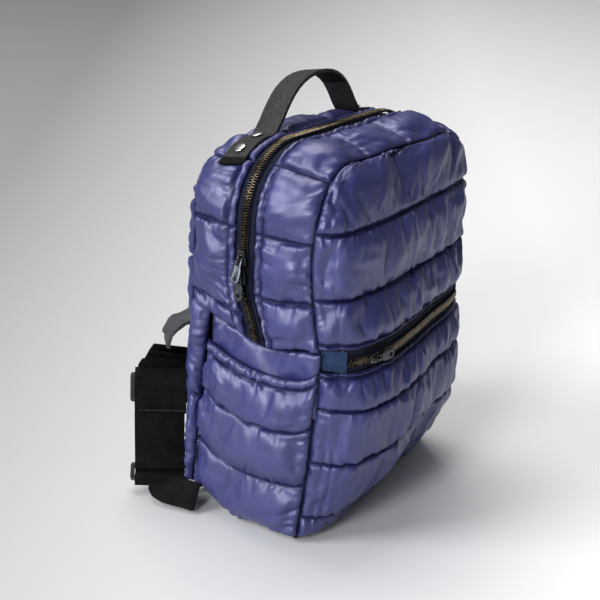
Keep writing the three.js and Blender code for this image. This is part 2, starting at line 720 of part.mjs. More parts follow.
function routeFrames(points, widths, steps) {
  const middle = new THREE.CatmullRomCurve3(points, false, 'centripetal')
  const across = new THREE.CatmullRomCurve3(widths, false, 'centripetal')
  const frames = []
  for (let i = 0; i <= steps; i++) {
    const tangent = middle.getTangent(i / steps)
    const width = across.getPoint(i / steps)
    width.addScaledVector(tangent, -width.dot(tangent)).normalize()
    const face = new THREE.Vector3().crossVectors(tangent, width).normalize()
    frames.push({ middle: middle.getPoint(i / steps), across: width, face })
  }
  return frames
}

function strapGeometry() {
  const widths = STRAP_ROUTE.map(row => new THREE.Vector3(row.wx, row.wy, row.wz))
  return band(routeFrames(STRAP_ROUTE.map(routePoint), widths, 22), STRAP_WIDTH, STRAP_THICKNESS)
}

const GLIDE_ROW = WEBBING_ROUTE[2]
const GLIDE_LENGTH = 3 * GLIDE_BAR + 2 * GLIDE_SLOT
const GLIDE_STEP = GLIDE_THICKNESS / 2 + WEBBING_THICKNESS / 2 + 0.5
const GLIDE_FACE = new THREE.Vector3(WEBBING_ACROSS.y, -WEBBING_ACROSS.x, 0).negate()

// Webbing: behind the glide's top bar, through its upper slot, over the rest, and round the ring's bar.
const WEAVE = [
  { up: 0.53 * GLIDE_LENGTH, out: -1.2 },
  { up: GLIDE_BAR / 2 + 0.9 * GLIDE_SLOT, out: -0.9 },
  { up: GLIDE_BAR / 2 + 0.1 * GLIDE_SLOT, out: 0.9 },
  { up: 0, out: 1 },
  { up: -GLIDE_LENGTH / 2, out: 1 },
]
const RING_TURN = [
  { out: 1, down: 0 },
  { out: 0.7, down: 0.7 },
  { out: 0, down: 1 },
  { out: -0.7, down: 0.7 },
  { out: -1, down: 0 },
  { out: -1.6, down: -1.5 },
  { out: -2, down: -4 },
]

function webbingGeometry() {
  const turnRadius = 0.71 * RING_WIRE + WEBBING_THICKNESS / 2 + 0.5
  const points = []
  const widths = []
  const add = (row, up, out) => {
    points.push(routePoint(row).addScaledVector(GLIDE_FACE, out).add(new THREE.Vector3(0, 0, up)))
    widths.push(new THREE.Vector3(row.wx, row.wy, 0))
  }
  for (const row of WEBBING_ROUTE.slice(0, -1)) {
    if (row === GLIDE_ROW) WEAVE.forEach(step => add(row, step.up, step.out * GLIDE_STEP))
    else add(row, 0, 0)
  }
  RING_TURN.forEach(step => add(WEBBING_ROUTE.at(-1), -step.down * turnRadius, step.out * turnRadius))
  return band(routeFrames(points, widths, 3 * (points.length - 1)), WEBBING_WIDTH, WEBBING_THICKNESS)
}

function glideGeometry() {
  const half = WEBBING_WIDTH / 2 + BUCKLE_PLAY
  const shape = roundedShape(-half - GLIDE_BAR, -GLIDE_LENGTH / 2, half + GLIDE_BAR, GLIDE_LENGTH / 2, GLIDE_CORNER)
  for (const side of [-1, 1]) {
    const middle = side * (GLIDE_BAR + GLIDE_SLOT) / 2
    shape.holes.push(roundedShape(-half, middle - GLIDE_SLOT / 2, half, middle + GLIDE_SLOT / 2, 1))
  }
  return extrudeFlat(shape, GLIDE_THICKNESS, 3).translate(0, 0, -GLIDE_THICKNESS / 2)
}

function ringGeometry() {
  const half = WEBBING_WIDTH / 2 + BUCKLE_PLAY
  const slotHalf = RING_SLOT / 2
  const reach = half + RING_WIRE
  const rise = slotHalf + RING_WIRE
  const shape = roundedShape(-reach, -rise, reach, rise, GLIDE_CORNER)
  shape.holes.push(roundedShape(-half, -slotHalf, half, slotHalf, GLIDE_CORNER / 2))
  return extrudeFlat(shape, RING_WIRE, 3).translate(0, 0, -RING_WIRE / 2)
}

function anchorGeometry() {
  const widths = ANCHOR_ROUTE.map(row => new THREE.Vector3(row.wx, row.wy, row.wz))
  return band(routeFrames(ANCHOR_ROUTE.map(routePoint), widths, 10), ANCHOR_WIDTH, ANCHOR_THICKNESS)
}

// Colours and finishes
const quiltCloth = new THREE.MeshStandardMaterial({ color: 0x3f3f7a, roughness: 0.35, metalness: 0 })
const tapeCloth = new THREE.MeshStandardMaterial({ color: 0x23284a, roughness: 0.9, metalness: 0 })
const tealTape = new THREE.MeshStandardMaterial({ color: 0x2f4f7c, roughness: 0.8, metalness: 0 })
const agedBrass = new THREE.MeshStandardMaterial({ color: 0x8c7453, roughness: 0.4, metalness: 1 })
const blackEnamel = new THREE.MeshStandardMaterial({ color: 0x0c0c0e, roughness: 0.15, metalness: 0.6 })
const gunmetal = new THREE.MeshStandardMaterial({ color: 0x5c6470, roughness: 0.35, metalness: 1 })
const handleHide = new THREE.MeshStandardMaterial({ color: 0x33332f, roughness: 0.7, metalness: 0 })
const rivetSteel = new THREE.MeshStandardMaterial({ color: 0xc9c5bf, roughness: 0.3, metalness: 1 })
const blackWeb = new THREE.MeshStandardMaterial({ color: 0x0e0e10, roughness: 0.9, metalness: 0 })
const blackPlastic = new THREE.MeshStandardMaterial({ color: 0x111113, roughness: 0.4, metalness: 0 })
const strapHide = new THREE.MeshStandardMaterial({ color: 0x4b4b4e, roughness: 0.7, metalness: 0 })

const bag = new THREE.Group()

function piece(name, geometry, material, parent = bag) {
  const mesh = new THREE.Mesh(geometry, material)
  mesh.name = name
  parent.add(mesh)
  return mesh
}

// Quilted walls
piece('front_lower_panel', frontPanel(FRONT_SEAMS[0], FRONT_SEAMS[5]), quiltCloth)
piece('front_upper_panel', frontPanel(FRONT_SEAMS[6], 1), quiltCloth)
piece('back_panel', backPanel(), quiltCloth)
piece('bottom_panel', bottomPanel(), quiltCloth)
piece('top_strip_front', topStrip(true), quiltCloth)
piece('top_strip_back', topStrip(false), quiltCloth)
for (const [label, side] of [['left', -1], ['right', 1]]) {
  piece(`${label}_side_panel`, sidePanel(side), quiltCloth)
  piece(`${label}_side_pocket`, sidePocket(side), quiltCloth)
  piece(`${label}_back_roll`, backRoll(side), quiltCloth)
}

// Zipper tapes and teeth
const TEETH_LIFT = -TAPE_SINK + TAPE_THICKNESS / 2 + SEAM_GAP + TEETH_HEIGHT / 2
const TEETH_TOP = TEETH_LIFT + TEETH_HEIGHT / 2
const FRONT_TAB_ACROSS = -0.99
const FRONT_TEETH_ACROSS = FRONT_TAB_ACROSS + TAB_LENGTH / HALF
piece('main_zip_tape', mainZipBand(TAPE_WIDTH, TAPE_THICKNESS, -TAPE_SINK), tapeCloth)
piece('main_zip_teeth', mainZipBand(TEETH_WIDTH, TEETH_HEIGHT, TEETH_LIFT), agedBrass)
const FRONT_TAPE_WIDTH = (FRONT_SEAMS[6] - FRONT_SEAMS[5]) * CASE_HEIGHT - 2 * SEAM_GAP
const tapeGap = SEAM_GAP / HALF
piece('front_zip_tape', frontZipBand(FRONT_TEETH_ACROSS + tapeGap, -FRONT_TEETH_ACROSS - tapeGap,
  FRONT_TAPE_WIDTH, TAPE_THICKNESS, TAPE_SINK), tapeCloth)
piece('front_zip_teeth', frontZipBand(FRONT_TEETH_ACROSS + tapeGap, -FRONT_TEETH_ACROSS - tapeGap,
  TEETH_WIDTH, TEETH_HEIGHT, -TEETH_LIFT), agedBrass)
piece('front_zip_tab_left', frontZipBand(FRONT_TAB_ACROSS, FRONT_TEETH_ACROSS,
  FRONT_TAPE_WIDTH, TAPE_THICKNESS, TAPE_SINK / 2), tealTape)
piece('front_zip_tab_right', frontZipBand(-FRONT_TEETH_ACROSS, -FRONT_TAB_ACROSS,
  FRONT_TAPE_WIDTH, TAPE_THICKNESS, TAPE_SINK / 2), tealTape)

// Sliders with their swinging pulls, each pair in a frame on its zipper
function sliderPair(label, origin, along, out, tilt) {
  const frame = new THREE.Group()
  const lateral = new THREE.Vector3().crossVectors(out, along)
  frame.applyMatrix4(new THREE.Matrix4().makeBasis(along, lateral, out).setPosition(origin))
  bag.add(frame)
  piece(`${label}_slider`, sliderGeometry(), blackEnamel, frame)
  const pull = piece(`${label}_pull`, pullGeometry(), gunmetal, frame)
  pull.rotation.y = -tilt * Math.PI / 180
}

const PIN_LIFT = TEETH_TOP + SEAM_GAP + SLIDER_LIFT
const zipFoot = footHeight(zipY(STRAIGHT))
const upperAlong = (UPPER_SLIDER_HEIGHT - zipFoot) / (ARC_FOOT - zipFoot) * STRAIGHT
for (const [label, drop, tilt] of [['main_upper', 0, UPPER_PULL_TILT], ['main_lower', SLIDER_PITCH, 0]]) {
  const origin = rim(upperAlong, zipY(STRAIGHT), PIN_LIFT).add(new THREE.Vector3(0, 0, -drop))
  sliderPair(label, origin, new THREE.Vector3(0, 0, -1), new THREE.Vector3(-1, 0, 0), tilt)
}
const SLIDER_SHARE = SLIDER_LENGTH / 2 / HALF
const chordStart = frontZipPoint(FRONT_SLIDER_ACROSS - SLIDER_SHARE, 0)
const chordEnd = frontZipPoint(FRONT_SLIDER_ACROSS + SLIDER_SHARE, 0)
const frontAlong = chordEnd.clone().sub(chordStart).normalize()
const frontOut = new THREE.Vector3().crossVectors(frontAlong, new THREE.Vector3(0, 0, 1))
const frontPin = frontZipPoint(FRONT_SLIDER_ACROSS, 0).addScaledVector(frontOut, PIN_LIFT + SEAM_GAP)
sliderPair('front', frontPin, frontAlong, frontOut, FRONT_PULL_TILT)

// Handle and its rivets
piece('top_handle', band(handleFrames(), HANDLE_WIDTH, HANDLE_THICKNESS, [HANDLE_END_SHARE, HANDLE_END_SHARE]), handleHide)
for (const [label, side] of [['left', -1], ['right', 1]]) {
  for (const [place, share] of [['inner', 0], ['outer', RIVET_PITCH / HANDLE_FOOT]]) {
    const x = -HANDLE_SPAN / 2 - (RIVET_START_SHARE + share) * HANDLE_FOOT
    const normal = rimNormal(alongAtX(x))
    const tilt = new THREE.Vector3(0, Math.sin(HANDLE_TILT_ANGLE), 0)
    const face = normal.clone().add(tilt).normalize()
    const seat = handleFootPoint(x, HANDLE_SEAT + HANDLE_THICKNESS + 2 * SEAM_GAP)
    const rivet = piece(`${label}_rivet_${place}`, rivetGeometry(), rivetSteel)
    face.x *= -side
    rivet.quaternion.setFromUnitVectors(new THREE.Vector3(0, 0, 1), face)
    rivet.position.set(-side * seat.x, seat.y, seat.z)
  }
}

// Shoulder straps, mirrored for the right with their triangles turned back to face out
function mirrored(geometry, side) {
  if (side < 0) return geometry
  const copy = joinedVertices(geometry).scale(-1, 1, 1)
  const index = Array.from(copy.index.array)
  for (let i = 0; i < index.length; i += 3) [index[i + 1], index[i + 2]] = [index[i + 2], index[i + 1]]
  copy.setIndex(index)
  return copy
}

function placedGlide(geometry, origin, up) {
  const face = new THREE.Vector3().crossVectors(WEBBING_ACROSS, up).normalize()
  const basis = new THREE.Matrix4().makeBasis(WEBBING_ACROSS, up, face).setPosition(origin)
  return geometry.applyMatrix4(basis)
}

const upright = new THREE.Vector3(0, 0, 1)
const ringUp = new THREE.Vector3().crossVectors(WEBBING_ACROSS, upright).multiplyScalar(0.8)
ringUp.add(upright.clone().multiplyScalar(0.6)).normalize()
const ringBarPoint = routePoint(WEBBING_ROUTE.at(-1))
const ringMiddle = ringBarPoint.clone().addScaledVector(ringUp, -(RING_SLOT + RING_WIRE) / 2)
for (const [label, side] of [['left', -1], ['right', 1]]) {
  piece(`${label}_shoulder_strap`, mirrored(strapGeometry(), side), strapHide)
  piece(`${label}_webbing`, mirrored(webbingGeometry(), side), blackWeb)
  piece(`${label}_tri_glide`, mirrored(placedGlide(glideGeometry(), routePoint(GLIDE_ROW), upright), side),
    blackPlastic)
  piece(`${label}_strap_ring`, mirrored(placedGlide(ringGeometry(), ringMiddle, ringUp), side), blackPlastic)
  piece(`${label}_anchor_tab`, mirrored(anchorGeometry(), side), blackWeb)
}

// The origin is the middle of the footprint, on the surface that the bag stands on.
bag.updateMatrixWorld(true)
const box = new THREE.Box3().setFromObject(bag, true)
const centre = box.getCenter(new THREE.Vector3())
bag.position.set(-centre.x, -centre.y, -box.min.z)

export default bag
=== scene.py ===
import json
import math

import bmesh
import bpy
import numpy as np
from mathutils import Matrix, Vector
from mathutils.bvhtree import BVHTree

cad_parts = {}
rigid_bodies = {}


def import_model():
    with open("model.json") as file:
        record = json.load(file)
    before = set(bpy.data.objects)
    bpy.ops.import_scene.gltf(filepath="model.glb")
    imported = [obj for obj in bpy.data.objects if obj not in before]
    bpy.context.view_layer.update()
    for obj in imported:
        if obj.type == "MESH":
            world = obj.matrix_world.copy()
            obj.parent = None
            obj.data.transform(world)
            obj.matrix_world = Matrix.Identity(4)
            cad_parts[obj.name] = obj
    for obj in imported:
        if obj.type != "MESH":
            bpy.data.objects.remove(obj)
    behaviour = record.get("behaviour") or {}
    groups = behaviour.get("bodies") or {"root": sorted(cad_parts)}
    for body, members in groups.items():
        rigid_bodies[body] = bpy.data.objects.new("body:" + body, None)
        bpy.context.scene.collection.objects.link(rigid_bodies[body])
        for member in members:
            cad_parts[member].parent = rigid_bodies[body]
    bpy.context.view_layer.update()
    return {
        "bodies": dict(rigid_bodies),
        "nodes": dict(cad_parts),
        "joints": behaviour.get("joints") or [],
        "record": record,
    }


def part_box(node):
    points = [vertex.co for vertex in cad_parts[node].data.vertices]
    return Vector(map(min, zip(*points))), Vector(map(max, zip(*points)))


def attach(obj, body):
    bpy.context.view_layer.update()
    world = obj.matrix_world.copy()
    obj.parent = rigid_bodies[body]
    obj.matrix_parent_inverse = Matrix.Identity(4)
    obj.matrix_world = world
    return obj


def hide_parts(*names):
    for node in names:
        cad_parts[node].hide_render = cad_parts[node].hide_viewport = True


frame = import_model()
nodes = frame["nodes"]
scene = bpy.context.scene

MM = 0.001

# Sizes of the case in millimetres, with its places taken from the frame.
SEAM_GAP = 0.3
CLOTH = 3.0
CASE_HEIGHT = 309.0
TOP_CORNER = 50.0
FOOT_HEIGHT = 165.0
FLOOR_CLEARANCE = 3.0
TAPE_WIDTH = 17.8
FRONT_BULGE = 44.0
BACK_BULGE = 9.0
TOP_CROWN = 8.0
SIDE_CROWN = 5.0
BOTTOM_RECEDE = 29.0
POCKET_WALL = 2.5
POCKET_HEIGHT = 153.0
POCKET_SWELL = 11.0
ROLL_TOP_WIDTH = 16.0
ROLL_BOTTOM_WIDTH = 2.0
ZIP_LEAN = 14.0

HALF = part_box("front_lower_panel")[1].x / MM
BACK_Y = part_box("top_strip_back")[1].y / MM + SEAM_GAP
FRONT_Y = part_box("top_strip_front")[0].y / MM - SEAM_GAP - CLOTH
CASE_DEPTH = BACK_Y - FRONT_Y
STRIP_FRONT_Y = FRONT_Y + CLOTH + SEAM_GAP
STRIP_BACK_Y = BACK_Y - SEAM_GAP
ARC_FOOT = CASE_HEIGHT - TOP_CORNER
STRAIGHT = ARC_FOOT - FOOT_HEIGHT
ARC_LENGTH = TOP_CORNER * math.pi / 2
STRIP_LENGTH = 2 * STRAIGHT + 2 * ARC_LENGTH + 2 * (HALF - TOP_CORNER)
ZIP_HALF = TAPE_WIDTH / 2 + SEAM_GAP

# Pairs of rows, as in the part's source: places, and the shares or millimetres there.
CROWN_DEPTHS = (0, 0.22, 0.54, 0.68, 0.9, 1)
TOP_LIFT = (CROWN_DEPTHS, (0, 0.56, 1, 0.44, -0.19, -0.62))
SIDE_LIFT = (CROWN_DEPTHS, (0, 0.8, 1, 0.7, 0.25, 0))
FRONT_UP = (
    (0, 0.075, 0.24, 0.4, 0.48, 0.57, 0.68, 0.85, 1),
    (0.04, 0.4, 0.84, 1, 0.87, 0.8, 0.57, 0.45, 0),
)
FRONT_ACROSS = (
    (-1, -0.93, -0.87, -0.75, -0.45, -0.1, 0.3, 0.7, 0.9, 1),
    (0, 0.45, 0.75, 0.93, 1, 0.86, 0.62, 0.4, 0.18, 0),
)
BACK_UP = ((0, 0.1, 0.5, 0.85, 1), (0, 0.7, 1, 0.7, 0))
BACK_ACROSS = ((-1, -0.94, -0.8, -0.4, 0.4, 0.8, 0.94, 1), (0, 0.6, 0.9, 1, 1, 0.9, 0.6, 0))
MOUTH = ((0, 0.1, 0.45, 0.75, 1), (1, 0.955, 0.935, 0.965, 1))
POCKET_UP = ((0, 0.35, 0.7, 1), (0, 0.7, 1, 0.65))
POCKET_BACK = ((0, 0.15, 0.5, 0.85, 1), (0, 0.6, 1, 0.6, 0))
SEAM_BOW = ((0, 0.22, 0.36, 0.5, 0.63, 0.77, 0.9, 1), (0, 8, 11, 14, 7.5, 2, 4, 0))

# Seams as shares of each panel's height, or of the strip's length.
FRONT_SEAMS = (0.01, 0.075, 0.24, 0.395, 0.482, 0.495, 0.553, 0.567, 0.68, 0.848, 1)
BACK_SEAMS = (0.01, 0.19, 0.36, 0.53, 0.7, 0.86, 1)
STRIP_SEAMS = (0, 0.083, 0.187, 0.298, 0.418, 0.544, 0.678, 0.787, 0.896, 1)
POCKET_SEAMS = (0, 0.333, 0.68, 0.93, 1)
ROLL_SEAMS = (0, 0.5, 1)
BOTTOM_SEAMS = (0, 0.25, 0.5, 0.75, 1)
ZIP_LEAN_LENGTH = STRIP_SEAMS[1] * STRIP_LENGTH
FRONT_ZIP_HEIGHT = (FRONT_SEAMS[5] + FRONT_SEAMS[6]) / 2 * CASE_HEIGHT
BOW_FADE = 0.1
FRONT_TUCK = 1.5


def smooth_read(places, values, at):
    """A value between those of a table, on a curve that never overshoots them."""
    xs, ys = np.array(places, float), np.array(values, float)
    at = min(max(at, xs[0]), xs[-1])
    steps = np.diff(xs)
    slopes = np.diff(ys) / steps
    tangents = np.concatenate([[slopes[0]], (slopes[1:] + slopes[:-1]) / 2, [slopes[-1]]])
    tangents[1:-1][slopes[1:] * slopes[:-1] <= 0] = 0
    for i, slope in enumerate(slopes):
        limit = 3 * abs(slope)
        tangents[i] = np.clip(tangents[i], -limit, limit)
        tangents[i + 1] = np.clip(tangents[i + 1], -limit, limit)
    i = int(np.clip(np.searchsorted(xs, at) - 1, 0, len(slopes) - 1))
    t = (at - xs[i]) / steps[i]
    h = steps[i]
    return float(
        (2 * t**3 - 3 * t**2 + 1) * ys[i]
        + (t**3 - 2 * t**2 + t) * h * tangents[i]
        + (3 * t**2 - 2 * t**3) * ys[i + 1]
        + (t**3 - t**2) * h * tangents[i + 1]
    )


def mix(a, b, share):
    return a + (b - a) * share


def clamp01(value):
    return min(1.0, max(0.0, value))


def ease(value):
    value = clamp01(value)
    return value * value * (3 - 2 * value)


def add_object(name, data):
    thing = bpy.data.objects.new(name, data)
    scene.collection.objects.link(thing)
    return thing


# The camera looks from the front left: yaw is from +Y towards +X, and pitch is down.
CAMERA_YAW = 54.6
CAMERA_PITCH = 20.8
CAMERA_ROLL = 2.77
CAMERA_TARGET = (-12.3, 19.48, 161.6)
CAMERA_DISTANCE = 1279.0
CAMERA_LENS = 90.2
SENSOR_WIDTH = 36.0


def make_camera():
    yaw, pitch, roll = (math.radians(angle) for angle in (CAMERA_YAW, CAMERA_PITCH, CAMERA_ROLL))
    forward = Vector((math.sin(yaw) * math.cos(pitch), math.cos(yaw) * math.cos(pitch), -math.sin(pitch)))
    right = Vector((math.cos(yaw), -math.sin(yaw), 0))
    up = right.cross(forward)
    rolled_right = math.cos(roll) * right + math.sin(roll) * up
    rolled_up = math.cos(roll) * up - math.sin(roll) * right
    data = bpy.data.cameras.new("camera")
    data.sensor_width = SENSOR_WIDTH
    data.lens = CAMERA_LENS
    camera = add_object("camera", data)
    turn = Matrix((rolled_right, rolled_up, -forward)).transposed().to_4x4()
    place = (Vector(CAMERA_TARGET) - forward * CAMERA_DISTANCE) * MM
    camera.matrix_world = Matrix.Translation(place) @ turn
    scene.camera = camera


make_camera()


# Materials


class Shader:
    """A material's node tree with short calls for the nodes used here."""

    def __init__(self, name):
        self.material = bpy.data.materials.new(name)
        self.material.use_nodes = True
        self.tree = self.material.node_tree
        self.surface = self.tree.nodes["Principled BSDF"]
        self.place = self.node("ShaderNodeTexCoord").outputs["Object"]

    def node(self, kind, **settings):
        node = self.tree.nodes.new(kind)
        for key, value in settings.items():
            if key in node.inputs:
                node.inputs[key].default_value = value
            else:
                setattr(node, key, value)
        return node

    def link(self, source, target):
        self.tree.links.new(source, target)

    def set(self, **values):
        for key, value in values.items():
            self.surface.inputs[key.replace("_", " ")].default_value = value

    def noise(self, scale, detail=3.0, stretch=(1, 1, 1), distortion=0.0):
        mapping = self.node("ShaderNodeMapping", Scale=stretch)
        self.link(self.place, mapping.inputs["Vector"])
        texture = self.node("ShaderNodeTexNoise", Scale=scale, Detail=detail, Distortion=distortion)
        self.link(mapping.outputs["Vector"], texture.inputs["Vector"])
        return texture.outputs["Fac"]

    def wave(self, scale, direction):
        texture = self.node("ShaderNodeTexWave", Scale=scale, Distortion=0.4, bands_direction=direction)
        self.link(self.place, texture.inputs["Vector"])
        return texture.outputs["Fac"]

    def spread(self, source, low, high, out_low, out_high):
        ends = {"From Min": low, "From Max": high, "To Min": out_low, "To Max": out_high}
        node = self.node("ShaderNodeMapRange", **ends)
        self.link(source, node.inputs["Value"])
        return node.outputs["Result"]

    def blend_colours(self, factor, first, second):
        node = self.node("ShaderNodeMix", data_type="RGBA")
        for socket, value in ((node.inputs[6], first), (node.inputs[7], second)):
            if isinstance(value, tuple):
                socket.default_value = (*value, 1)
            else:
                self.link(value, socket)
        self.link(factor, node.inputs[0])
        return node.outputs[2]

    def multiply(self, first, second):
        node = self.node("ShaderNodeMath", operation="MULTIPLY")
        self.link(first, node.inputs[0])
        self.link(second, node.inputs[1])
        return node.outputs[0]

    def paint(self, tone, rough):
        """Puts a colour and a roughness on the surface."""
        self.link(tone, self.surface.inputs["Base Color"])
        self.link(rough, self.surface.inputs["Roughness"])

    def attribute(self, name):
        return self.node("ShaderNodeAttribute", attribute_name=name).outputs["Fac"]

    def bumps(self, *layers):
        """Chains bump nodes from (height, strength, distance) rows into the surface's normal."""
        normal = None
        for height, strength, distance in layers:
            bump = self.node("ShaderNodeBump", Strength=strength, Distance=distance)
            self.link(height, bump.inputs["Height"])
            if normal is not None:
                self.link(normal, bump.inputs["Normal"])
            normal = bump.outputs["Normal"]
        self.link(normal, self.surface.inputs["Normal"])


def nylon_material():
    """Glossy quilted nylon: colour drifts a little, and painted shade darkens it into the stitched
    creases.
    """
    shader = Shader("quilted nylon")
    drift = shader.spread(shader.noise(16, 3), 0.35, 0.65, 0, 1)
    cloth = shader.blend_colours(drift, (0.0175, 0.0198, 0.096), (0.0225, 0.0255, 0.118))
    # Painted shade: the colour runs to near-black navy along the seams' creases, where the cloth folds
    # into shade.
    painted_crease_shade = shader.attribute("painted_crease_shade")
    colour = shader.blend_colours(shader.spread(painted_crease_shade, 0.1, 1, 0, 1), cloth, (0.007, 0.007, 0.032))
    shader.paint(colour, shader.spread(shader.noise(60, 4), 0.3, 0.7, 0.38, 0.5))
    shine = shader.spread(painted_crease_shade, 0.25, 0.8, 1.0, 0.1)
    shader.link(shine, shader.surface.inputs["Specular IOR Level"])
    shader.set(Sheen_Weight=0.06, Sheen_Roughness=0.35)
    shader.set(Sheen_Tint=(0.6, 0.6, 0.9, 1), Specular_Tint=(0.79, 0.79, 1.0, 1))
    shader.bumps(
        (shader.noise(110, 4, distortion=0.6), 0.12, 0.001),
        (shader.noise(420, 4, distortion=0.8), 0.34, 0.0004),
    )
    return shader.material


def woven_material(name, colour, lighter, rough, pitch, sheen=0.15):
    """Matt woven tape: ribs in two directions at a thread's pitch."""
    shader = Shader(name)
    scale = 1 / pitch / 2
    ribs = shader.multiply(shader.wave(scale, "Z"), shader.wave(scale, "X"))
    tone = shader.blend_colours(shader.spread(shader.noise(120, 4), 0.3, 0.7, 0, 1), colour, lighter)
    shader.paint(tone, shader.spread(shader.noise(300, 2), 0.3, 0.7, rough - 0.08, rough + 0.08))
    shader.set(Specular_IOR_Level=0.1, Sheen_Weight=sheen)
    shader.bumps((ribs, 0.5, 0.0004), (shader.noise(700, 3), 0.3, 0.0003))
    return shader.material


def metal_material(name, colour, worn, rough, metallic=1.0):
    """Metal or enamel with slight tarnish and fine scratches."""
    shader = Shader(name)
    wear = shader.spread(shader.noise(320, 5), 0.42, 0.68, 0, 1)
    tone = shader.blend_colours(wear, colour, worn)
    scratches = shader.noise(500, 3, (1, 6, 1))
    shader.paint(tone, shader.spread(scratches, 0.3, 0.7, rough * 0.75, rough * 1.3))
    shader.set(Metallic=metallic)
    shader.bumps((shader.noise(900, 3), 0.12, 0.0002),)
    return shader.material


def hide_material(name, colour, lighter, rough):
    """Grained faux leather: pebbles with paler tops."""
    shader = Shader(name)
    cells = shader.node("ShaderNodeTexVoronoi", Scale=760.0)
    shader.link(shader.place, cells.inputs["Vector"])
    pebbles = cells.outputs["Distance"]
    tone = shader.blend_colours(shader.spread(pebbles, 0.1, 0.6, 1, 0), colour, lighter)
    shader.paint(tone, shader.spread(shader.noise(90, 4), 0.3, 0.7, rough - 0.1, rough + 0.1))
    shader.set(Specular_IOR_Level=0.35)
    shader.bumps((pebbles, 0.8, 0.0008), (shader.noise(260, 4), 0.3, 0.0006))
    return shader.material


def plastic_material(name, colour, rough):
    """Moulded plastic with a fine spark texture."""
    shader = Shader(name)
    tone = shader.blend_colours(shader.noise(60, 2), colour, tuple(1.5 * c for c in colour))
    shader.paint(tone, shader.spread(shader.noise(400, 3), 0.3, 0.7, rough - 0.06, rough + 0.08))
    shader.bumps((shader.noise(1500, 3), 0.15, 0.0002),)
    return shader.material


NYLON = nylon_material()
THREAD = woven_material("navy thread", (0.012, 0.012, 0.045), (0.02, 0.02, 0.07), 0.6, 0.0004)
PALE_THREAD = woven_material("pale thread", (0.4, 0.4, 0.6), (0.55, 0.55, 0.75), 0.6, 0.0004)
GREY_THREAD = woven_material("grey thread", (0.03, 0.03, 0.032), (0.06, 0.055, 0.05), 0.6, 0.0004)
TAPE = woven_material("zipper tape", (0.004, 0.005, 0.012), (0.009, 0.011, 0.024), 0.85, 0.0007, 0.02)
TEAL = woven_material("teal ribbon", (0.01, 0.024, 0.062), (0.017, 0.04, 0.095), 0.6, 0.0012)
WEBBING = woven_material("black webbing", (0.002, 0.002, 0.002), (0.005, 0.005, 0.005), 0.8, 0.0016, 0.0)
BRASS = metal_material("aged brass", (0.115, 0.088, 0.055), (0.018, 0.015, 0.012), 0.34)
ENAMEL = metal_material("black enamel", (0.006, 0.006, 0.008), (0.02, 0.02, 0.024), 0.16, 0.3)
GUNMETAL = metal_material("gunmetal", (0.1, 0.11, 0.125), (0.05, 0.055, 0.065), 0.34)
NICKEL = metal_material("satin nickel", (0.5, 0.48, 0.46), (0.34, 0.32, 0.31), 0.32)
HIDE = hide_material("charcoal grain", (0.006, 0.006, 0.0055), (0.03, 0.03, 0.027), 0.62)
STRAP_HIDE = hide_material("grey grain", (0.03, 0.03, 0.033), (0.06, 0.06, 0.063), 0.6)
PLASTIC = plastic_material("black plastic", (0.01, 0.01, 0.011), 0.35)


# Form of the case, in millimetres


def zip_y(along):
    """Middle of the main zipper along the strip: it leans forward towards its ends."""
    from_end = min(along, STRIP_LENGTH - along)
    return FRONT_Y + 0.54 * CASE_DEPTH - ZIP_LEAN * (1 - ease(from_end / ZIP_LEAN_LENGTH / 1.15))


FOOT_LINE = (
    (STRIP_FRONT_Y, zip_y(0) - ZIP_HALF, zip_y(0) + ZIP_HALF, STRIP_BACK_Y),
    (0.018, -0.024, 0.006, 0.079),
)


def foot_height(y):
    return FOOT_HEIGHT * (1 + smooth_read(*FOOT_LINE, y))


def around(along):
    """Side, distance from the strip's nearer end, and turn through the corner's arc."""
    from_end = min(along, STRIP_LENGTH - along)
    side = 1 if along > STRIP_LENGTH / 2 else -1
    return side, from_end, clamp01((from_end - STRAIGHT) / ARC_LENGTH) * math.pi / 2


def rim(along, y, lift):
    """Point of the case's outline at a distance along the strip and a depth, lifted off it."""
    side, from_end, turn = around(along)
    flat = max(0.0, from_end - STRAIGHT - ARC_LENGTH)
    depth = clamp01((y - FRONT_Y) / CASE_DEPTH)
    top_lift = TOP_CROWN * smooth_read(*TOP_LIFT, depth)
    side_lift = SIDE_CROWN * smooth_read(*SIDE_LIFT, depth)
    out = mix(side_lift, top_lift, math.sin(turn) ** 2) + lift
    reach = HALF - TOP_CORNER - flat + (TOP_CORNER + out) * math.cos(turn)
    foot = mix(foot_height(y), ARC_FOOT, clamp01(from_end / STRAIGHT))
    return Vector((side * reach, y, foot + (TOP_CORNER + out) * math.sin(turn)))


def rim_normal(along):
    side, _, turn = around(along)
    return Vector((side * math.cos(turn), 0, math.sin(turn)))


def recede(x, z):
    """How far the front panel's lower edge draws back towards the right."""
    low = clamp01(1 - z / (FRONT_SEAMS[2] * CASE_HEIGHT))
    return BOTTOM_RECEDE * clamp01((x + HALF) / (2 * HALF)) * low


def seam_bow(side, z):
    """How far the contents push the left front seam forward, the most at the pocket's mouth."""
    if side > 0:
        return 0.0
    return smooth_read(*SEAM_BOW, z / CASE_HEIGHT)


def panel_row(height, y):
    """Half width and height of a panel row: straight below the corner arcs, round through them."""
    if height <= ARC_FOOT:
        return HALF, height
    turn = math.asin(clamp01((height - ARC_FOOT) / TOP_CORNER))
    point = rim(STRAIGHT + turn * TOP_CORNER, y, 0)
    return -point.x, point.z


def front_base(across, x, z):
    swell = smooth_read(*FRONT_UP, z / CASE_HEIGHT)
    bulge = FRONT_BULGE * swell * smooth_read(*FRONT_ACROSS, across)
    bow = seam_bow(across, z) * clamp01(1 - (across + 1) / BOW_FADE)
    return FRONT_Y + recede(x, z) - bulge - bow


def roll_front(z):
    return STRIP_BACK_Y - mix(ROLL_BOTTOM_WIDTH, ROLL_TOP_WIDTH, z / FOOT_HEIGHT)


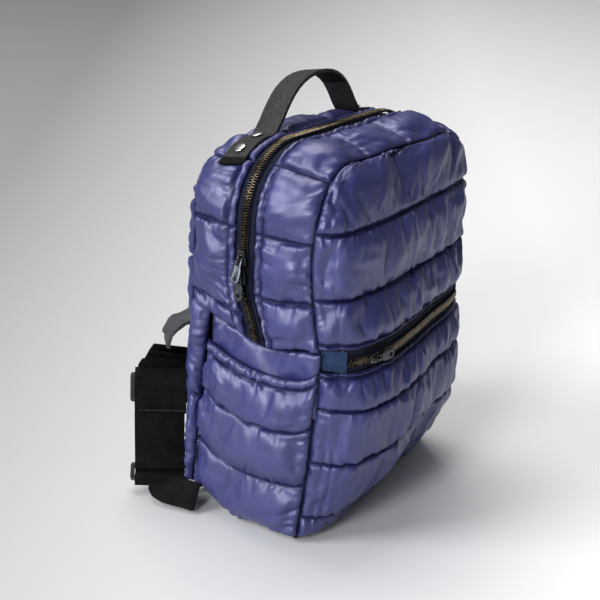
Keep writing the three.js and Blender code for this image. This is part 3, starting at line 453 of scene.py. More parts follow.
def side_y(side, z, bow_z, share):
    """Depth of a point on a side, from just under the front panel's edge to the back roll."""
    front = STRIP_FRONT_Y + recede(side * HALF, z) - FRONT_TUCK - seam_bow(side, bow_z)
    return mix(front, roll_front(z) - SEAM_GAP, share)


# Padded skins: a fine grid over the seams, blown out by a cloth simulation between them


def steps_between(marks, step):
    """Grid lines that fall on every mark, about a step apart, and the indexes of the marks."""
    lines, kept = [marks[0]], [0]
    for low, high in zip(marks, marks[1:]):
        count = max(2, round((high - low) / step))
        lines += [mix(low, high, i / count) for i in range(1, count + 1)]
        kept.append(len(lines) - 1)
    return lines, kept


def doubled(grid):
    """The rows of a grid with a smooth new row between each pair."""
    padded = np.concatenate([grid[:1], grid, grid[-1:]])
    middle = (9 * (padded[1:-2] + padded[2:-1]) - padded[:-3] - padded[3:]) / 16
    fine = np.empty((2 * len(grid) - 1, *grid.shape[1:]))
    fine[::2] = grid
    fine[1::2] = middle
    return fine


def neighbour_mean(grid):
    """Each inner value of a grid as the mean of its four neighbours."""
    mean = grid.copy()
    mean[1:-1, 1:-1] = (grid[:-2, 1:-1] + grid[2:, 1:-1] + grid[1:-1, :-2] + grid[1:-1, 2:]) / 4
    return mean


def ripple(at, seed):
    """Smooth seeded noise from -1 to 1 along a line, with features about one unit long."""
    heights = np.random.default_rng(seed).uniform(-1, 1, 997)
    cell = np.floor(at).astype(int)
    share = at - cell
    share = share * share * (3 - 2 * share)
    return heights[cell % 997] * (1 - share) + heights[(cell + 1) % 997] * share


def ring_faces(rings, count, flip=False):
    """Faces of a closed shape made of rings of points, with both ends capped."""
    faces = []
    for i in range(rings - 1):
        for k in range(count):
            a, b = i * count + k, i * count + (k + 1) % count
            faces.append((a, b, b + count, a + count))
    faces.append(tuple(reversed(range(count))))
    faces.append(tuple(range((rings - 1) * count, rings * count)))
    return [(face[0], *face[:0:-1]) for face in faces] if flip else faces


def mesh_object(name, vertices, faces, material, smooth=True):
    mesh = bpy.data.meshes.new(name)
    mesh.from_pydata([tuple(v) for v in vertices], [], faces)
    mesh.validate()
    mesh.update()
    mesh.materials.append(material)
    if smooth:
        mesh.polygons.foreach_set("use_smooth", [True] * len(mesh.polygons))
    return add_object(name, mesh)


def unit(vectors):
    return vectors / np.maximum(np.linalg.norm(vectors, axis=-1, keepdims=True), 1e-9)


def grid_normals(grid, flip):
    cross = np.cross(np.gradient(grid, axis=1), np.gradient(grid, axis=0))
    return unit(cross) * (-1 if flip else 1)


def grid_faces(height, width, flip):
    faces = []
    for i in range(height - 1):
        for j in range(width - 1):
            a = i * width + j
            face = (a, a + 1, a + 1 + width, a + width)
            faces.append(face[::-1] if flip else face)
    return faces


# Folds beside a seam, in millimetres: how wide each is, how far it reaches, and how high it stands.
FINE_FOLDS = (2.5, 2.8, 0.95)
MIDDLE_FOLDS = (4.4, 5.5, 1.3)
WIDE_FOLDS = (10.0, 10.0, 0.85)


def folds(row, along, distance, seed):
    width, reach, height = row
    return height * ripple(along / width, seed) * distance / reach * np.exp(1 - distance / reach)


def gathers(along, distance, seed, size):
    """Height of the small folds that a seam draws into the cloth beside it."""
    drift = along + 0.5 * distance * ripple(along / 27, seed)
    tight = 0.5 + 0.5 * ripple(along / 31, seed + 1)
    fine = folds(FINE_FOLDS, drift, distance, seed + 2)
    middle = folds(MIDDLE_FOLDS, drift, distance, seed + 3)
    wide = folds(WIDE_FOLDS, drift, distance, seed + 4)
    return size * (np.clip(tight, 0.25, 1) * (fine + middle) + wide)


# How cloth is pressed, how it rises from its seams, its grooves, the shade painted along its creases, and
# its upright folds.
PRESS_DEPTH = 14.0
PRESS_GAP = 0.4
PRESS_ROUNDS = 8
PRESS_SLOPE = 0.97
RAISED_REACH = 6.0
VALLEY_REACH = 5.0
GROOVE = 2.0
PAINTED_SHADE_LINE = 1.6
CREASE_SHADE = 6.0
UPRIGHT_FOLD = 4.6
UPRIGHT_LEAN = 60.0
UPRIGHT_DRIFT = 45.0


class Skin:
    """One quilted panel: a grid that is sewn down along some of its rows and columns."""

    def __init__(self, name, row_marks, column_marks, point, size, puff,
                 step=2.4, flip=False, gather=1.0, valley=1.6):
        # size is the real length of a row and of a column, which keeps the grid square
        self.name = name
        self.puff = puff
        self.flip = flip
        self.gather = gather
        self.valley = valley
        row_length, column_length = size
        rows, self.sewn_rows = steps_between(row_marks, step / column_length)
        columns, self.sewn_columns = steps_between(column_marks, step / row_length)
        self.base = np.array([[tuple(point(row, column)) for column in columns] for row in rows])
        self.normals = grid_normals(self.base, flip)
        height, width = self.base.shape[:2]
        self.pinned = np.zeros((height, width), bool)
        self.pinned[self.sewn_rows, :] = True
        self.pinned[:, self.sewn_columns] = True
        self.seed = sum(ord(letter) for letter in name)
        self.grid = self.started()

    def seam_distances(self, grid):
        """Distance of each point from every seam, and its place along that seam."""
        down = np.cumsum(np.linalg.norm(np.diff(grid, axis=0, prepend=grid[:1]), axis=2), axis=0)
        along = np.cumsum(np.linalg.norm(np.diff(grid, axis=1, prepend=grid[:, :1]), axis=2), axis=1)
        rows = [(np.abs(down - down[i:i + 1]), along) for i in self.sewn_rows]
        columns = [(np.abs(along - along[:, j:j + 1]), down) for j in self.sewn_columns]
        return rows + columns

    def started(self):
        """The grid with each channel already a little raised."""
        nearest = np.min([distance for distance, _ in self.seam_distances(self.base)], axis=0)
        xs, ys, zs = np.moveaxis(self.base, 2, 0)
        broad = ripple(xs / 37 + zs / 29 + ys / 31, self.seed)
        lift = self.puff * (0.55 + 0.15 * broad) * (1 - np.exp(-nearest / RAISED_REACH))
        return self.base + self.normals * lift[:, :, None]

    def make(self):
        height, width = self.grid.shape[:2]
        faces = grid_faces(height, width, self.flip)
        self.piece = mesh_object(self.name, self.grid.reshape(-1, 3) * MM, faces, NYLON)

    def add_cloth(self, slack, pressure):
        group = self.piece.vertex_groups.new(name="sewn")
        group.add(np.flatnonzero(self.pinned.ravel()).tolist(), 1.0, "REPLACE")
        cloth = self.piece.modifiers.new("cloth", "CLOTH")
        settings = cloth.settings
        settings.quality = 4
        settings.mass = 0.15
        settings.vertex_group_mass = "sewn"
        settings.shrink_min = -slack
        settings.use_pressure = True
        settings.uniform_pressure_force = pressure
        settings.tension_stiffness = 15
        settings.compression_stiffness = 15
        settings.shear_stiffness = 6
        settings.bending_stiffness = 0.6
        settings.air_damping = 2.0
        settings.effector_weights.gravity = 0
        cloth.collision_settings.use_collision = False
        cloth.collision_settings.use_self_collision = False

    def take_cloth(self, graph):
        """Keeps the simulated points, no further out than the cap, and drops the simulation."""
        evaluated = self.piece.evaluated_get(graph)
        found = evaluated.to_mesh()
        flat = np.zeros(self.base.size)
        found.vertices.foreach_get("co", flat)
        evaluated.to_mesh_clear()
        moved = flat.reshape(self.base.shape) / MM - self.base
        out = np.sum(moved * self.normals, axis=2)
        capped = np.clip(out, -1.0, 1.5 * self.puff)
        self.grid = self.relaxed(self.base + moved + (capped - out)[:, :, None] * self.normals)
        bpy.data.objects.remove(self.piece)

    def relaxed(self, grid, rounds=3):
        """The grid with its free points drawn towards their neighbours, which leaves the wide folds."""
        free = ~self.pinned
        for _ in range(rounds):
            grid = np.where(free[:, :, None], 0.4 * grid + 0.6 * neighbour_mean(grid), grid)
        return grid

    def refine(self):
        """Doubles the grid, draws small gathers into it beside every seam, and weighs the shade painted
        along the seams.
        """
        fine = doubled(doubled(self.grid).transpose(1, 0, 2)).transpose(1, 0, 2)
        self.sewn_rows = [2 * i for i in self.sewn_rows]
        self.sewn_columns = [2 * j for j in self.sewn_columns]
        seams = self.seam_distances(fine)
        nearest = np.min([distance for distance, _ in seams], axis=0)
        lift = np.zeros(nearest.shape)
        for number, (distance, along) in enumerate(seams):
            lift += gathers(along, distance, self.seed + 11 * number, self.gather)
        lift *= np.clip(nearest / 2.5, 0, 1)
        raised = 0.8 - 0.8 * np.exp(-nearest / VALLEY_REACH)
        lift += self.valley * (raised - np.exp(-((nearest / GROOVE) ** 2)))
        self.normals = grid_normals(fine, self.flip)
        self.grid = fine + self.normals * lift[:, :, None]
        # Painted shade: a dark line on each seam and a fainter darkening further out, for the material's
        # colour.
        line = np.exp(-((nearest / PAINTED_SHADE_LINE) ** 2))
        self.painted_crease_shade = 0.62 * line + 0.34 * np.exp(-nearest / CREASE_SHADE)

    def press_under(self, node):
        """Lowers the cloth where a hard part lies on it, with a soft slope around."""
        mesh = nodes[node].data
        corners = [tuple(vertex.co / MM) for vertex in mesh.vertices]
        tree = BVHTree.FromPolygons(corners, [tuple(polygon.vertices) for polygon in mesh.polygons])
        low, high = np.min(corners, axis=0) - 3, np.max(corners, axis=0) + 3
        near = np.all((self.grid > low) & (self.grid < high), axis=2)
        push = np.zeros(near.shape)
        for i, j in np.argwhere(near):
            outward = Vector(self.normals[i, j])
            start = Vector(self.grid[i, j]) - PRESS_DEPTH * outward
            distance = tree.ray_cast(start, outward, PRESS_DEPTH)[3]
            if distance is not None:
                push[i, j] = PRESS_DEPTH + PRESS_GAP - distance
        for _ in range(PRESS_ROUNDS):
            push = np.maximum(push, PRESS_SLOPE * neighbour_mean(push))
        self.grid = self.grid - self.normals * push[:, :, None]

    def add_upright_folds(self, height):
        """Soft folds from seam to seam on the right of the front, where the contents pull least."""
        xs, _, zs = np.moveaxis(self.grid, 2, 0)
        across = xs / HALF
        share = np.clip((across + 0.1) / 0.5, 0, 1) * np.clip((1.02 - across) / 0.2, 0, 1)
        # The folds fade out beside the seams, where the crease shade is painted.
        share *= np.clip(1.1 - 2 * self.painted_crease_shade, 0, 1)
        drift = xs + 0.16 * zs * ripple(zs / UPRIGHT_LEAN, self.seed)
        fold = ripple(drift / UPRIGHT_FOLD, self.seed + 5)
        fold *= 0.6 + 0.4 * ripple(zs / UPRIGHT_DRIFT, self.seed + 6)
        self.grid = self.grid + self.normals * (height * share * fold)[:, :, None]

    def finish(self, node, thickness=1.6, fill=0.6):
        self.make()
        # The painted crease shade goes to the nylon's colour as a point attribute.
        layer = self.piece.data.attributes.new("painted_crease_shade", "FLOAT", "POINT")
        layer.data.foreach_set("value", self.painted_crease_shade.ravel())
        wall = self.piece.modifiers.new("wall", "SOLIDIFY")
        wall.thickness = thickness * MM
        wall.offset = -1
        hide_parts(node)
        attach(self.piece, "bag")

    def row_line(self, number):
        i = self.sewn_rows[number]
        return self.grid[i], self.normals[i]

    def column_line(self, number):
        j = self.sewn_columns[number]
        return self.grid[:, j], self.normals[:, j]


FRONT_PUFF = 7.5
BACK_PUFF = 6.0
STRIP_PUFF = 8.0
POCKET_PUFF = 7.5
SIDE_PUFF = 3.0
ROLL_PUFF = 4.5
BOTTOM_PUFF = 1.5
CORNER_RISE = 15.0


def front_skin(name, marks):
    def point(row, column):
        half, z = panel_row(row * CASE_HEIGHT, FRONT_Y)
        edge = clamp01((abs(column) - 0.975) / 0.025)
        z -= 1.5 * clamp01((row - 0.99) / 0.01)
        return Vector((column * half, front_base(column, column * half, z) + 2.5 * edge, z))

    return Skin(name, marks, (-1, 1), point, (2 * HALF, CASE_HEIGHT), FRONT_PUFF)


def back_skin():
    def point(row, column):
        half, z = panel_row(row * CASE_HEIGHT, BACK_Y)
        up = smooth_read(*BACK_UP, row)
        swell = BACK_BULGE * up * smooth_read(*BACK_ACROSS, column)
        z += CORNER_RISE * 1.3 * ease((abs(column) - 0.85) / 0.15) * clamp01(1 - row / BACK_SEAMS[1])
        return Vector((column * half, BACK_Y + CLOTH + swell, z))

    size = (2 * HALF, CASE_HEIGHT)
    return Skin("back_skin", BACK_SEAMS, (-1, 1), point, size, BACK_PUFF, step=4.0, flip=True)


FRONT_STRIP_WIDTH = 36.0
BACK_STRIP_WIDTH = 43.0
FRONT_WELT = 5.0
BACK_WELT = 8.0
BACK_STRIP_SEAMS = (0, 0.035, *STRIP_SEAMS[2:-2], 0.965, 1)


def strip_skin(name, front):
    span = FRONT_STRIP_WIDTH if front else BACK_STRIP_WIDTH
    near_zip = (0, 1 - FRONT_WELT / span, 1) if front else (0, BACK_WELT / span, 1)
    seams = STRIP_SEAMS if front else BACK_STRIP_SEAMS

    def point(row, column):
        along = row * STRIP_LENGTH
        seam = rim(along, STRIP_FRONT_Y, 0)
        low, high = STRIP_FRONT_Y - 2 - seam_bow(seam.x, seam.z), zip_y(along) - ZIP_HALF
        if not front:
            low, high = zip_y(along) + ZIP_HALF, STRIP_BACK_Y + 4
        edge = column if front else 1 - column
        return rim(along, mix(low, high, column), -1.2 * clamp01(1 - edge / 0.05))

    return Skin(name, seams, near_zip, point, (span, STRIP_LENGTH), STRIP_PUFF, flip=True)


SIDE_DEPTH = 95.0
SIDE_FOOT = 110.0
SIDE_TOP = 170.0
SIDE_HEIGHT = SIDE_TOP - SIDE_FOOT
SIDE_BOW_AT = 155.0


def pocket_skin(label, side):
    def point(row, column):
        mouth = POCKET_HEIGHT * smooth_read(*MOUTH, column)
        z = mix(FLOOR_CLEARANCE + CORNER_RISE * ease((column - 0.5) / 0.5), mouth, row)
        y = side_y(side, z, z, column)
        up = smooth_read(*POCKET_UP, row)
        swell = POCKET_SWELL * up * smooth_read(*POCKET_BACK, column)
        tuck = 2.5 * clamp01(1 - column / 0.03)
        return Vector((side * (HALF - 1 + SEAM_GAP + POCKET_WALL + swell - tuck), y, z))

    name, size = f"{label}_pocket_skin", (SIDE_DEPTH, POCKET_HEIGHT)
    return Skin(name, POCKET_SEAMS, (0, 1), point, size, POCKET_PUFF, flip=side < 0, gather=1.3)


def side_skin(label, side):
    def point(row, column):
        y = side_y(side, SIDE_TOP, SIDE_BOW_AT, column)
        z = mix(SIDE_FOOT, foot_height(y) - SEAM_GAP, row)
        return Vector((side * (HALF - 1), y, z))

    name, size = f"{label}_side_skin", (SIDE_DEPTH, SIDE_HEIGHT)
    return Skin(name, (0, 1), (0, 1), point, size, SIDE_PUFF, step=3.6, flip=side < 0)


ROLL_TUCK = 6.0
ROLL_BULGE = 5.0
TUCK_INSET = 2.5


def roll_skin(label, side):
    def point(row, column):
        top = foot_height(mix(roll_front(FOOT_HEIGHT), STRIP_BACK_Y, column)) + ROLL_TUCK
        z = mix(FLOOR_CLEARANCE + CORNER_RISE * (1 + 0.3 * column), top, row)
        y = mix(roll_front(z), STRIP_BACK_Y + 4, column)
        tucked = ease((row - 0.94) / 0.06)
        out = mix(ROLL_BULGE * math.sin(math.pi * column), -TUCK_INSET, tucked)
        return Vector((side * (HALF + out), y, z))

    name, size = f"{label}_roll_skin", (ROLL_TOP_WIDTH, 175)
    return Skin(name, ROLL_SEAMS, (0, 1), point, size, ROLL_PUFF, step=2.0, flip=side < 0)


BOTTOM_EDGE = HALF - 4.0
BOTTOM_RISE = 3.0


def bottom_skin():
    def point(row, column):
        x = column * BOTTOM_EDGE
        y = mix(FRONT_Y + recede(x, 0) + CLOTH + SEAM_GAP, STRIP_BACK_Y, row)
        rim_share = max(abs(column), abs(2 * row - 1))
        corner = CORNER_RISE * ease((abs(column) - 0.85) / 0.15) * ease((row - 0.5) / 0.5)
        return Vector((x, y, BOTTOM_RISE * (0.3 + 0.7 * ease((rim_share - 0.9) / 0.1)) + corner))

    return Skin("bottom_skin", BOTTOM_SEAMS, (-1, 1), point, (2 * BOTTOM_EDGE, 110), BOTTOM_PUFF,
                step=5.0, flip=True, gather=0.15, valley=0.4)


skins = {
    "front_lower_panel": front_skin("front_lower_skin", FRONT_SEAMS[:6]),
    "front_upper_panel": front_skin("front_upper_skin", FRONT_SEAMS[6:]),
    "back_panel": back_skin(),
    "top_strip_front": strip_skin("strip_front_skin", True),
    "top_strip_back": strip_skin("strip_back_skin", False),
}
for side_label, side_sign in (("left", -1), ("right", 1)):
    skins[f"{side_label}_side_pocket"] = pocket_skin(side_label, side_sign)
    skins[f"{side_label}_side_panel"] = side_skin(side_label, side_sign)
    skins[f"{side_label}_back_roll"] = roll_skin(side_label, side_sign)


def blow_out(all_skins):
    """Runs the cloth of every skin at once and keeps the result."""
    for skin in all_skins:
        skin.make()
        skin.add_cloth(slack=0.06, pressure=6.0)
    for frame_number in range(1, 21):
        scene.frame_set(frame_number)
    graph = bpy.context.evaluated_depsgraph_get()
    for skin in all_skins:
        skin.take_cloth(graph)
    scene.frame_set(1)


PRESSED_BY = {
    "top_strip_back": ("top_handle",),
    "back_panel": ("left_shoulder_strap", "right_shoulder_strap"),
}

blow_out(skins.values())
skins["bottom_panel"] = bottom_skin()
for node_name, skin in skins.items():
    skin.refine()
    if node_name.startswith("front_"):
        skin.add_upright_folds(1.0)
    if node_name == "bottom_panel":
        skin.grid[:, :, 2] = np.maximum(skin.grid[:, :, 2], 0.05)
    for hard_part in PRESSED_BY.get(node_name, ()):
        skin.press_under(hard_part)
    skin.finish(node_name)


# Threads, teeth and other small rows along a line


class Line:
    """A line of points with its lengths, read at any distance along it."""

    def __init__(self, points, faces):
        self.points, self.faces = np.array(points), unit(np.array(faces))
        steps = np.linalg.norm(np.diff(self.points, axis=0), axis=1)
        self.at = np.concatenate([[0], np.cumsum(steps)])
        self.length = self.at[-1]

    def frame(self, distance):
        """Point, direction, sideways and facing vectors at a distance along the line."""
        point = self.read(self.points, distance)
        ahead = self.read(self.points, min(self.length, distance + 0.7))
        behind = self.read(self.points, max(0, distance - 0.7))
        direction = unit(ahead - behind)
        face = self.read(self.faces, distance)
        face = unit(face - direction * np.dot(face, direction))
        return point, direction, np.cross(face, direction), face

    def read(self, values, distance):
        return np.array([np.interp(distance, self.at, values[:, axis]) for axis in range(3)])


class Bits:
    """Small closed shapes gathered into one mesh."""

    def __init__(self):
        self.vertices, self.faces = [], []

    def add(self, shape, faces, frame):
        point, *axes = frame
        start = len(self.vertices)
        for corner in shape:
            self.vertices.append(point + sum(length * axis for length, axis in zip(corner, axes)))
        self.faces += [tuple(start + index for index in face) for face in faces]

    def lay(self, line, shape, faces, pitch, start, lift=0.0, turn=1):
        """Adds copies of a shape along a line. A turn of -1 faces every second one the other way."""
        distance, side = start, 1
        while distance < line.length - start:
            point, direction, across, face = line.frame(distance)
            self.add(shape, faces, (point + lift * face, side * direction, side * across, face))
            distance += pitch
            side *= turn

    def finish(self, name, material, slot, smooth=True):
        piece = mesh_object(name, np.array(self.vertices) * MM, self.faces, material, smooth)
        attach(piece, "bag")
        return piece


def tube_shape(length, radius, flat=0.8, sides=6):
    """A short thread with tapered ends, along X and flattened a little."""
    rings = ((-0.5, 0.35), (-0.32, 1), (0.32, 1), (0.5, 0.35))
    shape = []
    for share, width in rings:
        for k in range(sides):
            turn = 2 * math.pi * k / sides
            wide, tall = radius * math.cos(turn), flat * radius * math.sin(turn)
            shape.append((share * length, width * wide, width * tall))
    return shape, ring_faces(len(rings), sides)


STITCH_PITCH = 3.3
STITCH_LENGTH = 2.5
STITCH_RADIUS = 0.36
BINDING_LENGTH = 4.6
BINDING_RADIUS = 2.2
BINDING_PITCH = 2.6


def stitch(bits, line, lift=0.25):
    """Sews a row of thread dashes along a line."""
    bits.lay(line, *tube_shape(STITCH_LENGTH, STITCH_RADIUS), STITCH_PITCH, 2.0, lift)


def stitch_skins():
    navy = Bits()
    for name, skin in skins.items():
        for number in range(len(skin.sewn_rows)):
            outer_edge = number in (0, len(skin.sewn_rows) - 1)
            if outer_edge and not name.startswith("front_"):
                continue
            stitch(navy, Line(*skin.row_line(number)))
    for name in ("top_strip_front", "top_strip_back"):
        stitch(navy, Line(*skins[name].column_line(1)))
    navy.finish("seam_stitches", THREAD, "quilt")


def stitch_rear_edges():
    """The pale thread along the lower rear edge of each side."""
    pale = Bits()
    for side in ("left", "right"):
        points, faces = skins[f"{side}_back_roll"].column_line(0)
        count = len(points) * 2 // 5
        stitch(pale, Line(points[:count], faces[:count]), lift=0.6)
    pale.finish("edge_stitches", PALE_THREAD, "quilt")


def seam_binding():
    """The folded seam allowance behind the front seam, which shows dark between the padded edges."""
    roll = tube_shape(BINDING_LENGTH, BINDING_RADIUS, flat=1.0, sides=10)
    bits = Bits()
    lower, upper = skins["front_lower_panel"], skins["front_upper_panel"]
    lines = [skin.column_line(number) for skin in (lower, upper) for number in (0, 1)]
    for points, normals in (*lines, upper.row_line(-1)):
        inward = [(-np.sign(x) * 1.2, 1.0, -1.2 if z > ARC_FOOT else 0) for x, _, z in points]
        bits.lay(Line(points + np.array(inward), normals), *roll, BINDING_PITCH, 1.0)
    bits.finish("front_seam_binding", TAPE, "quilt")


stitch_skins()
stitch_rear_edges()
seam_binding()

TOOTH_PITCH = 2.2
TOOTH_LENGTH = 1.3
TOOTH_REACH = 3.1
TOOTH_HEIGHT = 2.0


def tooth_shape():
    """A metal tooth from its root, at the cord, to its rounded head past the middle."""
    half, height = TOOTH_LENGTH / 2, TOOTH_HEIGHT / 2
    section = ((-half, -height), (half, -height), (half, 0.45 * height), (0.55 * half, height),
               (-0.55 * half, height), (-half, 0.45 * height))
    rings = ((-TOOTH_REACH, 0.75, 0.8), (-1.3, 0.85, 1), (-0.2, 1.1, 1), (0.6, 0.8, 0.85))
    shape = [(x * width, across, z * tall) for across, width, tall in rings for x, z in section]
    return shape, ring_faces(len(rings), len(section), flip=True)


def teeth_row(name, line, node):
    """Interlocked teeth from both sides of a zipper."""
    bits = Bits()
    bits.lay(line, *tooth_shape(), TOOTH_PITCH / 2, TOOTH_PITCH / 2, turn=-1)
    piece = bits.finish(name, BRASS, "teeth", smooth=False)
    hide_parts(node)


TAPE_SINK = 1.6
TAPE_THICKNESS = 1.0
TEETH_LIFT = -TAPE_SINK + TAPE_THICKNESS / 2 + SEAM_GAP + TOOTH_HEIGHT / 2
FRONT_TEETH_ACROSS = -0.99 + 14 / HALF


def main_zip_line(offset, lift):
    steps = np.linspace(0.5, STRIP_LENGTH - 0.5, 300)
    points = [tuple(rim(along, zip_y(along) + offset, lift)) for along in steps]
    return Line(points, [tuple(rim_normal(along)) for along in steps])


def front_zip_line(offset, lift):
    steps = np.linspace(FRONT_TEETH_ACROSS, -FRONT_TEETH_ACROSS, 160)
    points = []
    for across in steps:
        x = across * HALF
        points.append((x, front_base(across, x, FRONT_ZIP_HEIGHT) - lift, FRONT_ZIP_HEIGHT + offset))
    return Line(points, [(0, -1, 0)] * len(points))


teeth_row("main_teeth", main_zip_line(0, TEETH_LIFT), "main_zip_teeth")
teeth_row("front_teeth", front_zip_line(0, TEETH_LIFT), "front_zip_teeth")


CORD_LENGTH = 1.9
CORD_RADIUS = 0.75
CORD_PITCH = 1.7
CORD_ACROSS = TOOTH_REACH + SEAM_GAP
CORD_LIFT = TEETH_LIFT - 0.7


def tape_cords():
    """The thread cords of both tapes, which carry the teeth's roots."""
    bits = Bits()
    for zip_line in (main_zip_line, front_zip_line):
        for side in (-1, 1):
            line = zip_line(side * CORD_ACROSS, CORD_LIFT)
            bits.lay(line, *tube_shape(CORD_LENGTH, CORD_RADIUS), CORD_PITCH, 1.0)
    bits.finish("tape_cords", TAPE, "tape")


tape_cords()


# Hard parts and straps: the frame's own meshes with eased edges


# The webbing hangs with its width along this direction, given for the left side.
WEB_ACROSS = unit(np.array([-0.63, 0.78, 0]))
SELVEDGE = 1.1
SELVEDGE_TOP = 80.0


def widen(mesh):
    """Moves the long edges of the hanging webbing outwards, so that it fills its slots."""
    moves = {}
    for polygon in mesh.polygons:
        across = Vector((math.copysign(WEB_ACROSS[0], polygon.center.x), WEB_ACROSS[1], 0))
        if abs(polygon.normal.dot(across)) > 0.8 and polygon.center.z < SELVEDGE_TOP * MM:
            for index in polygon.vertices:
                moves[index] = polygon.normal * SELVEDGE * MM
    for index, move in moves.items():
        mesh.vertices[index].co += move


def eased(node, material, edge, body="bag", underside=None):
    """A copy of a node with its flat faces joined, its edges rounded and its finish put on."""
    mesh = nodes[node].data.copy()
    shape = bmesh.new()
    shape.from_mesh(mesh)
    bmesh.ops.remove_doubles(shape, verts=shape.verts, dist=1e-6)
    bmesh.ops.dissolve_limit(shape, angle_limit=math.radians(1), verts=shape.verts, edges=shape.edges)
    shape.to_mesh(mesh)
    shape.free()
    if node.endswith("webbing"):
        widen(mesh)
    mesh.materials.clear()
    mesh.materials.append(material)
    if underside:
        mesh.materials.append(underside)
    piece = add_object(f"{node}_eased", mesh)
    for polygon in mesh.polygons:
        polygon.use_smooth = True
        polygon.material_index = 1 if underside and facing_inward(polygon) else 0
    bevel = piece.modifiers.new("edges", "BEVEL")
    bevel.width = edge * MM
    bevel.segments = 3
    bevel.limit_method = "ANGLE"
    bevel.angle_limit = math.radians(40)
    bevel.harden_normals = True
    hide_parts(node)
    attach(piece, body)


def band(name, rows, width, thickness, material):
    """A woven band along rows of a middle point and the direction across it, with rounded edges."""
    rows = [(np.array(point, float), unit(np.array(across, float))) for point, across in rows]
    middles = doubled(doubled(np.array([point for point, _ in rows])))
    acrosses = unit(doubled(doubled(np.array([across for _, across in rows]))))
    tangents = unit(np.gradient(middles, axis=0))
    faces_out = unit(np.cross(acrosses, tangents))
    half, edge = width / 2, thickness / 2
    lower = ((-half, -edge / 2), (-half + edge / 2, -edge), (half - edge / 2, -edge), (half, -edge / 2))
    section = (*lower, *((-a, -b) for a, b in lower))
    vertices = []
    for middle, across, out in zip(middles, acrosses, faces_out):
        vertices += [middle + a * across + b * out for a, b in section]
    faces = ring_faces(len(middles), len(section), flip=True)
    piece = mesh_object(name, np.array(vertices) * MM, faces, material, smooth=False)
    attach(piece, "bag")


GLIDE_FACE = np.array([-WEB_ACROSS[1], WEB_ACROSS[0], 0])
RING_UP = unit(np.array([-0.8 * GLIDE_FACE[0], -0.8 * GLIDE_FACE[1], 0.6]))
RING_FACE = np.cross(RING_UP, WEB_ACROSS)

# Rows of places up and out from the middle of the tri-glide, or of the ring.
FOLD_ROWS = (
    (17, -2.4), (14.6, 0.6), (12.5, 2.9), (9, 3.6), (4, 4.7),
    (-4, 5.0), (-12, 5.0), (-17, 4.2), (-22, 2.9),
)
FOLD_SEAM = (-19, 4.5)
LOOP_ROWS = (
    (5.5, -3.4), (2.5, -2.2), (-0.5, 0.2), (-3.5, 2.4),
    (-6.3, 3.0), (-9, 2.2), (-10.6, -0.4), (-11, -3),
)
FOLD_WIDTH = 43.4
LOOP_WIDTH = 42.0
FOLD_THICKNESS = 1.4
FACING_DEPTH = 5.2
FACING_WIDTH = 36.0
FACING_REACH = 0.86
MAIN_FACING_DEPTH = 6.5
MAIN_FACING_WIDTH = 30.0
FACING_THICKNESS = 0.8


def middle_of(node):
    low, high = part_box(node)
    return np.array((low + high) / 2) / MM


def zip_facings():
    """The cloth behind each zipper, which closes the slits beside its tape."""
    rows = []
    for across in np.linspace(-FACING_REACH, FACING_REACH, 40):
        y = front_base(across, across * HALF, FRONT_ZIP_HEIGHT) + FACING_DEPTH
        rows.append(((across * HALF, y, FRONT_ZIP_HEIGHT), (0, 0, 1)))
    band("front_zip_facing", rows, FACING_WIDTH, FACING_THICKNESS, TAPE)
    rows = []
    for along in np.linspace(4, STRIP_LENGTH - 4, 110):
        rows.append((tuple(rim(along, zip_y(along), -MAIN_FACING_DEPTH)), (0, 1, 0)))
    band("main_zip_facing", rows, MAIN_FACING_WIDTH, FACING_THICKNESS, TAPE)


def strap_folds(label, side):
    """The webbing's end sewn down over the tri-glide, and the anchor's loop through the ring."""
    flip = np.array([-side, 1, 1])
    across = WEB_ACROSS * flip
    glide, ring = middle_of(f"{label}_tri_glide"), middle_of(f"{label}_strap_ring")
    fold = [(glide + flip * (GLIDE_FACE * out) + (0, 0, up), across) for up, out in FOLD_ROWS]
    band(f"{label}_webbing_fold", fold, FOLD_WIDTH, FOLD_THICKNESS, WEBBING)
    loop = [(ring + flip * (RING_UP * up + RING_FACE * out), across) for up, out in LOOP_ROWS]
    band(f"{label}_anchor_loop", loop, LOOP_WIDTH, FOLD_THICKNESS, WEBBING)
    bits = Bits()
    up, out = FOLD_SEAM
    middle = glide + flip * (GLIDE_FACE * out) + (0, 0, up)
    ends = [middle - across * FOLD_WIDTH / 2, middle + across * FOLD_WIDTH / 2]
    stitch(bits, Line(ends, [flip * GLIDE_FACE] * 2))
    bits.finish(f"{label}_webbing_stitches", GREY_THREAD, "webbing")


def facing_inward(polygon):
    """True for the faces of the handle's arch that look down at the bag."""
    middle = polygon.center / MM
    return polygon.normal.z * 0.5 - polygon.normal.x * middle.x / HALF < -0.15


eased("top_handle", HIDE, 0.7, underside=WEBBING)
for label in ("main_upper", "main_lower", "front"):
    eased(f"{label}_slider", ENAMEL, 0.45)
    enamelled = label == "front"
    eased(f"{label}_pull", ENAMEL if enamelled else GUNMETAL, 0.3, body=f"{label}_pull")
for label in ("left", "right"):
    eased(f"{label}_shoulder_strap", STRAP_HIDE, 0.8)
    eased(f"{label}_webbing", WEBBING, 0.4)
    eased(f"{label}_anchor_tab", WEBBING, 0.5)
    eased(f"{label}_tri_glide", PLASTIC, 0.6)
    eased(f"{label}_strap_ring", PLASTIC, 0.6)
    eased(f"front_zip_tab_{label}", TEAL, 0.2)
zip_facings()
strap_folds("left", -1)
strap_folds("right", 1)
for node_name in ("main_zip_tape", "front_zip_tape"):
    nodes[node_name].data.materials.clear()
    nodes[node_name].data.materials.append(TAPE)


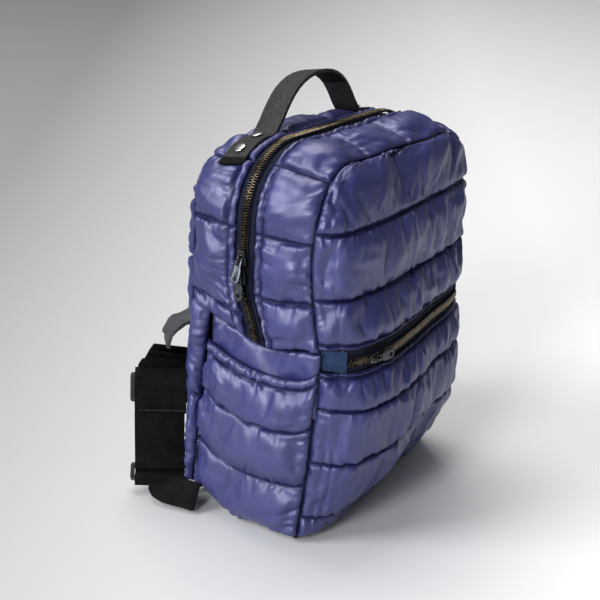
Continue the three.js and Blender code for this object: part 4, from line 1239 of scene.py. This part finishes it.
def domed_rivet(node):
    """A round capped rivet on the axis of the plain one."""
    plain = nodes[node].data
    flat = max(plain.polygons, key=lambda polygon: polygon.area)
    level = [polygon for polygon in plain.polygons if polygon.normal.dot(flat.normal) > 0.99]
    axis = sum((polygon.normal * polygon.area for polygon in level), Vector()).normalized()
    if axis.z < 0:
        axis = -axis
    base = sum((vertex.co for vertex in plain.vertices), Vector()) / len(plain.vertices)
    spokes = [vertex.co - base for vertex in plain.vertices]
    heights = [spoke.dot(axis) for spoke in spokes]
    radius = max((spoke - axis * height).length for spoke, height in zip(spokes, heights))
    foot = base + axis * min(heights)
    rise = max(heights) - min(heights)
    profile = [(1, 0), (1, 0.35), (0.96, 0.5), (0.86, 0.66), (0.66, 0.84), (0.4, 0.96), (0.12, 1)]
    turn = axis.to_track_quat("Z", "Y")
    sides = 36
    vertices = []
    for out, up in profile:
        for k in range(sides):
            angle = 2 * math.pi * k / sides
            local = Vector((out * radius * math.cos(angle), out * radius * math.sin(angle), up * rise))
            vertices.append(foot + turn @ local)
    piece = mesh_object(f"{node}_cap", vertices, ring_faces(len(profile), sides), NICKEL)
    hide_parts(node)
    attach(piece, "bag")


for label in ("left", "right"):
    for place in ("inner", "outer"):
        domed_rivet(f"{label}_rivet_{place}")


# Floor, light and backdrop


def add_floor():
    size = 6.0
    corners = [(-size, -size, 0), (size, -size, 0), (size, size, 0), (-size, size, 0)]
    shader = Shader("pale table")
    # Painted shade: the table's colour darkens towards the left and the back, where the windows light it
    # most, to even out their light.
    across = shader.node("ShaderNodeVectorMath", operation="DOT_PRODUCT")
    across.inputs[1].default_value = (0.58, -0.81, 0)
    shader.link(shader.place, across.inputs[0])
    share = shader.spread(across.outputs["Value"], -0.45, 0.3, 0, 1)
    tone = shader.blend_colours(share, (0.29, 0.288, 0.286), (0.9, 0.895, 0.885))
    shader.link(tone, shader.surface.inputs["Base Color"])
    shader.set(Roughness=0.5)
    shader.bumps((shader.noise(160, 3), 0.05, 0.0005),)
    floor = mesh_object("floor", corners, [(0, 1, 2, 3)], shader.material, smooth=False)


def add_light(name, place, target, size, power, colour):
    data = bpy.data.lights.new(name, "AREA")
    data.shape = "RECTANGLE"
    data.size, data.size_y = size
    data.energy = power
    data.color = colour
    light = add_object(name, data)
    light.location = place
    light.rotation_euler = (Vector(target) - Vector(place)).to_track_quat("-Z", "Y").to_euler()


def add_world():
    world = bpy.data.worlds.new("studio")
    scene.world = world
    world.use_nodes = True
    background = world.node_tree.nodes["Background"]
    background.inputs["Color"].default_value = (0.9, 0.93, 1.0, 1)
    background.inputs["Strength"].default_value = 0.17


DAYLIGHT = (0.94, 0.96, 1.0)
LAMPLIGHT = (1.0, 0.99, 0.97)

add_floor()
add_world()
add_light("window", (-2.4, 1.6, 1.9), (0, 0, 0.15), (1.6, 1.9), 98, DAYLIGHT)
add_light("side_window", (-3.0, -0.5, 1.35), (0, 0, 0.15), (0.75, 1.5), 82, DAYLIGHT)
add_light("ceiling", (0.5, 1.1, 3.2), (0, 0, 0.2), (2.2, 1.9), 84, LAMPLIGHT)
scene.view_settings.view_transform = "Standard"
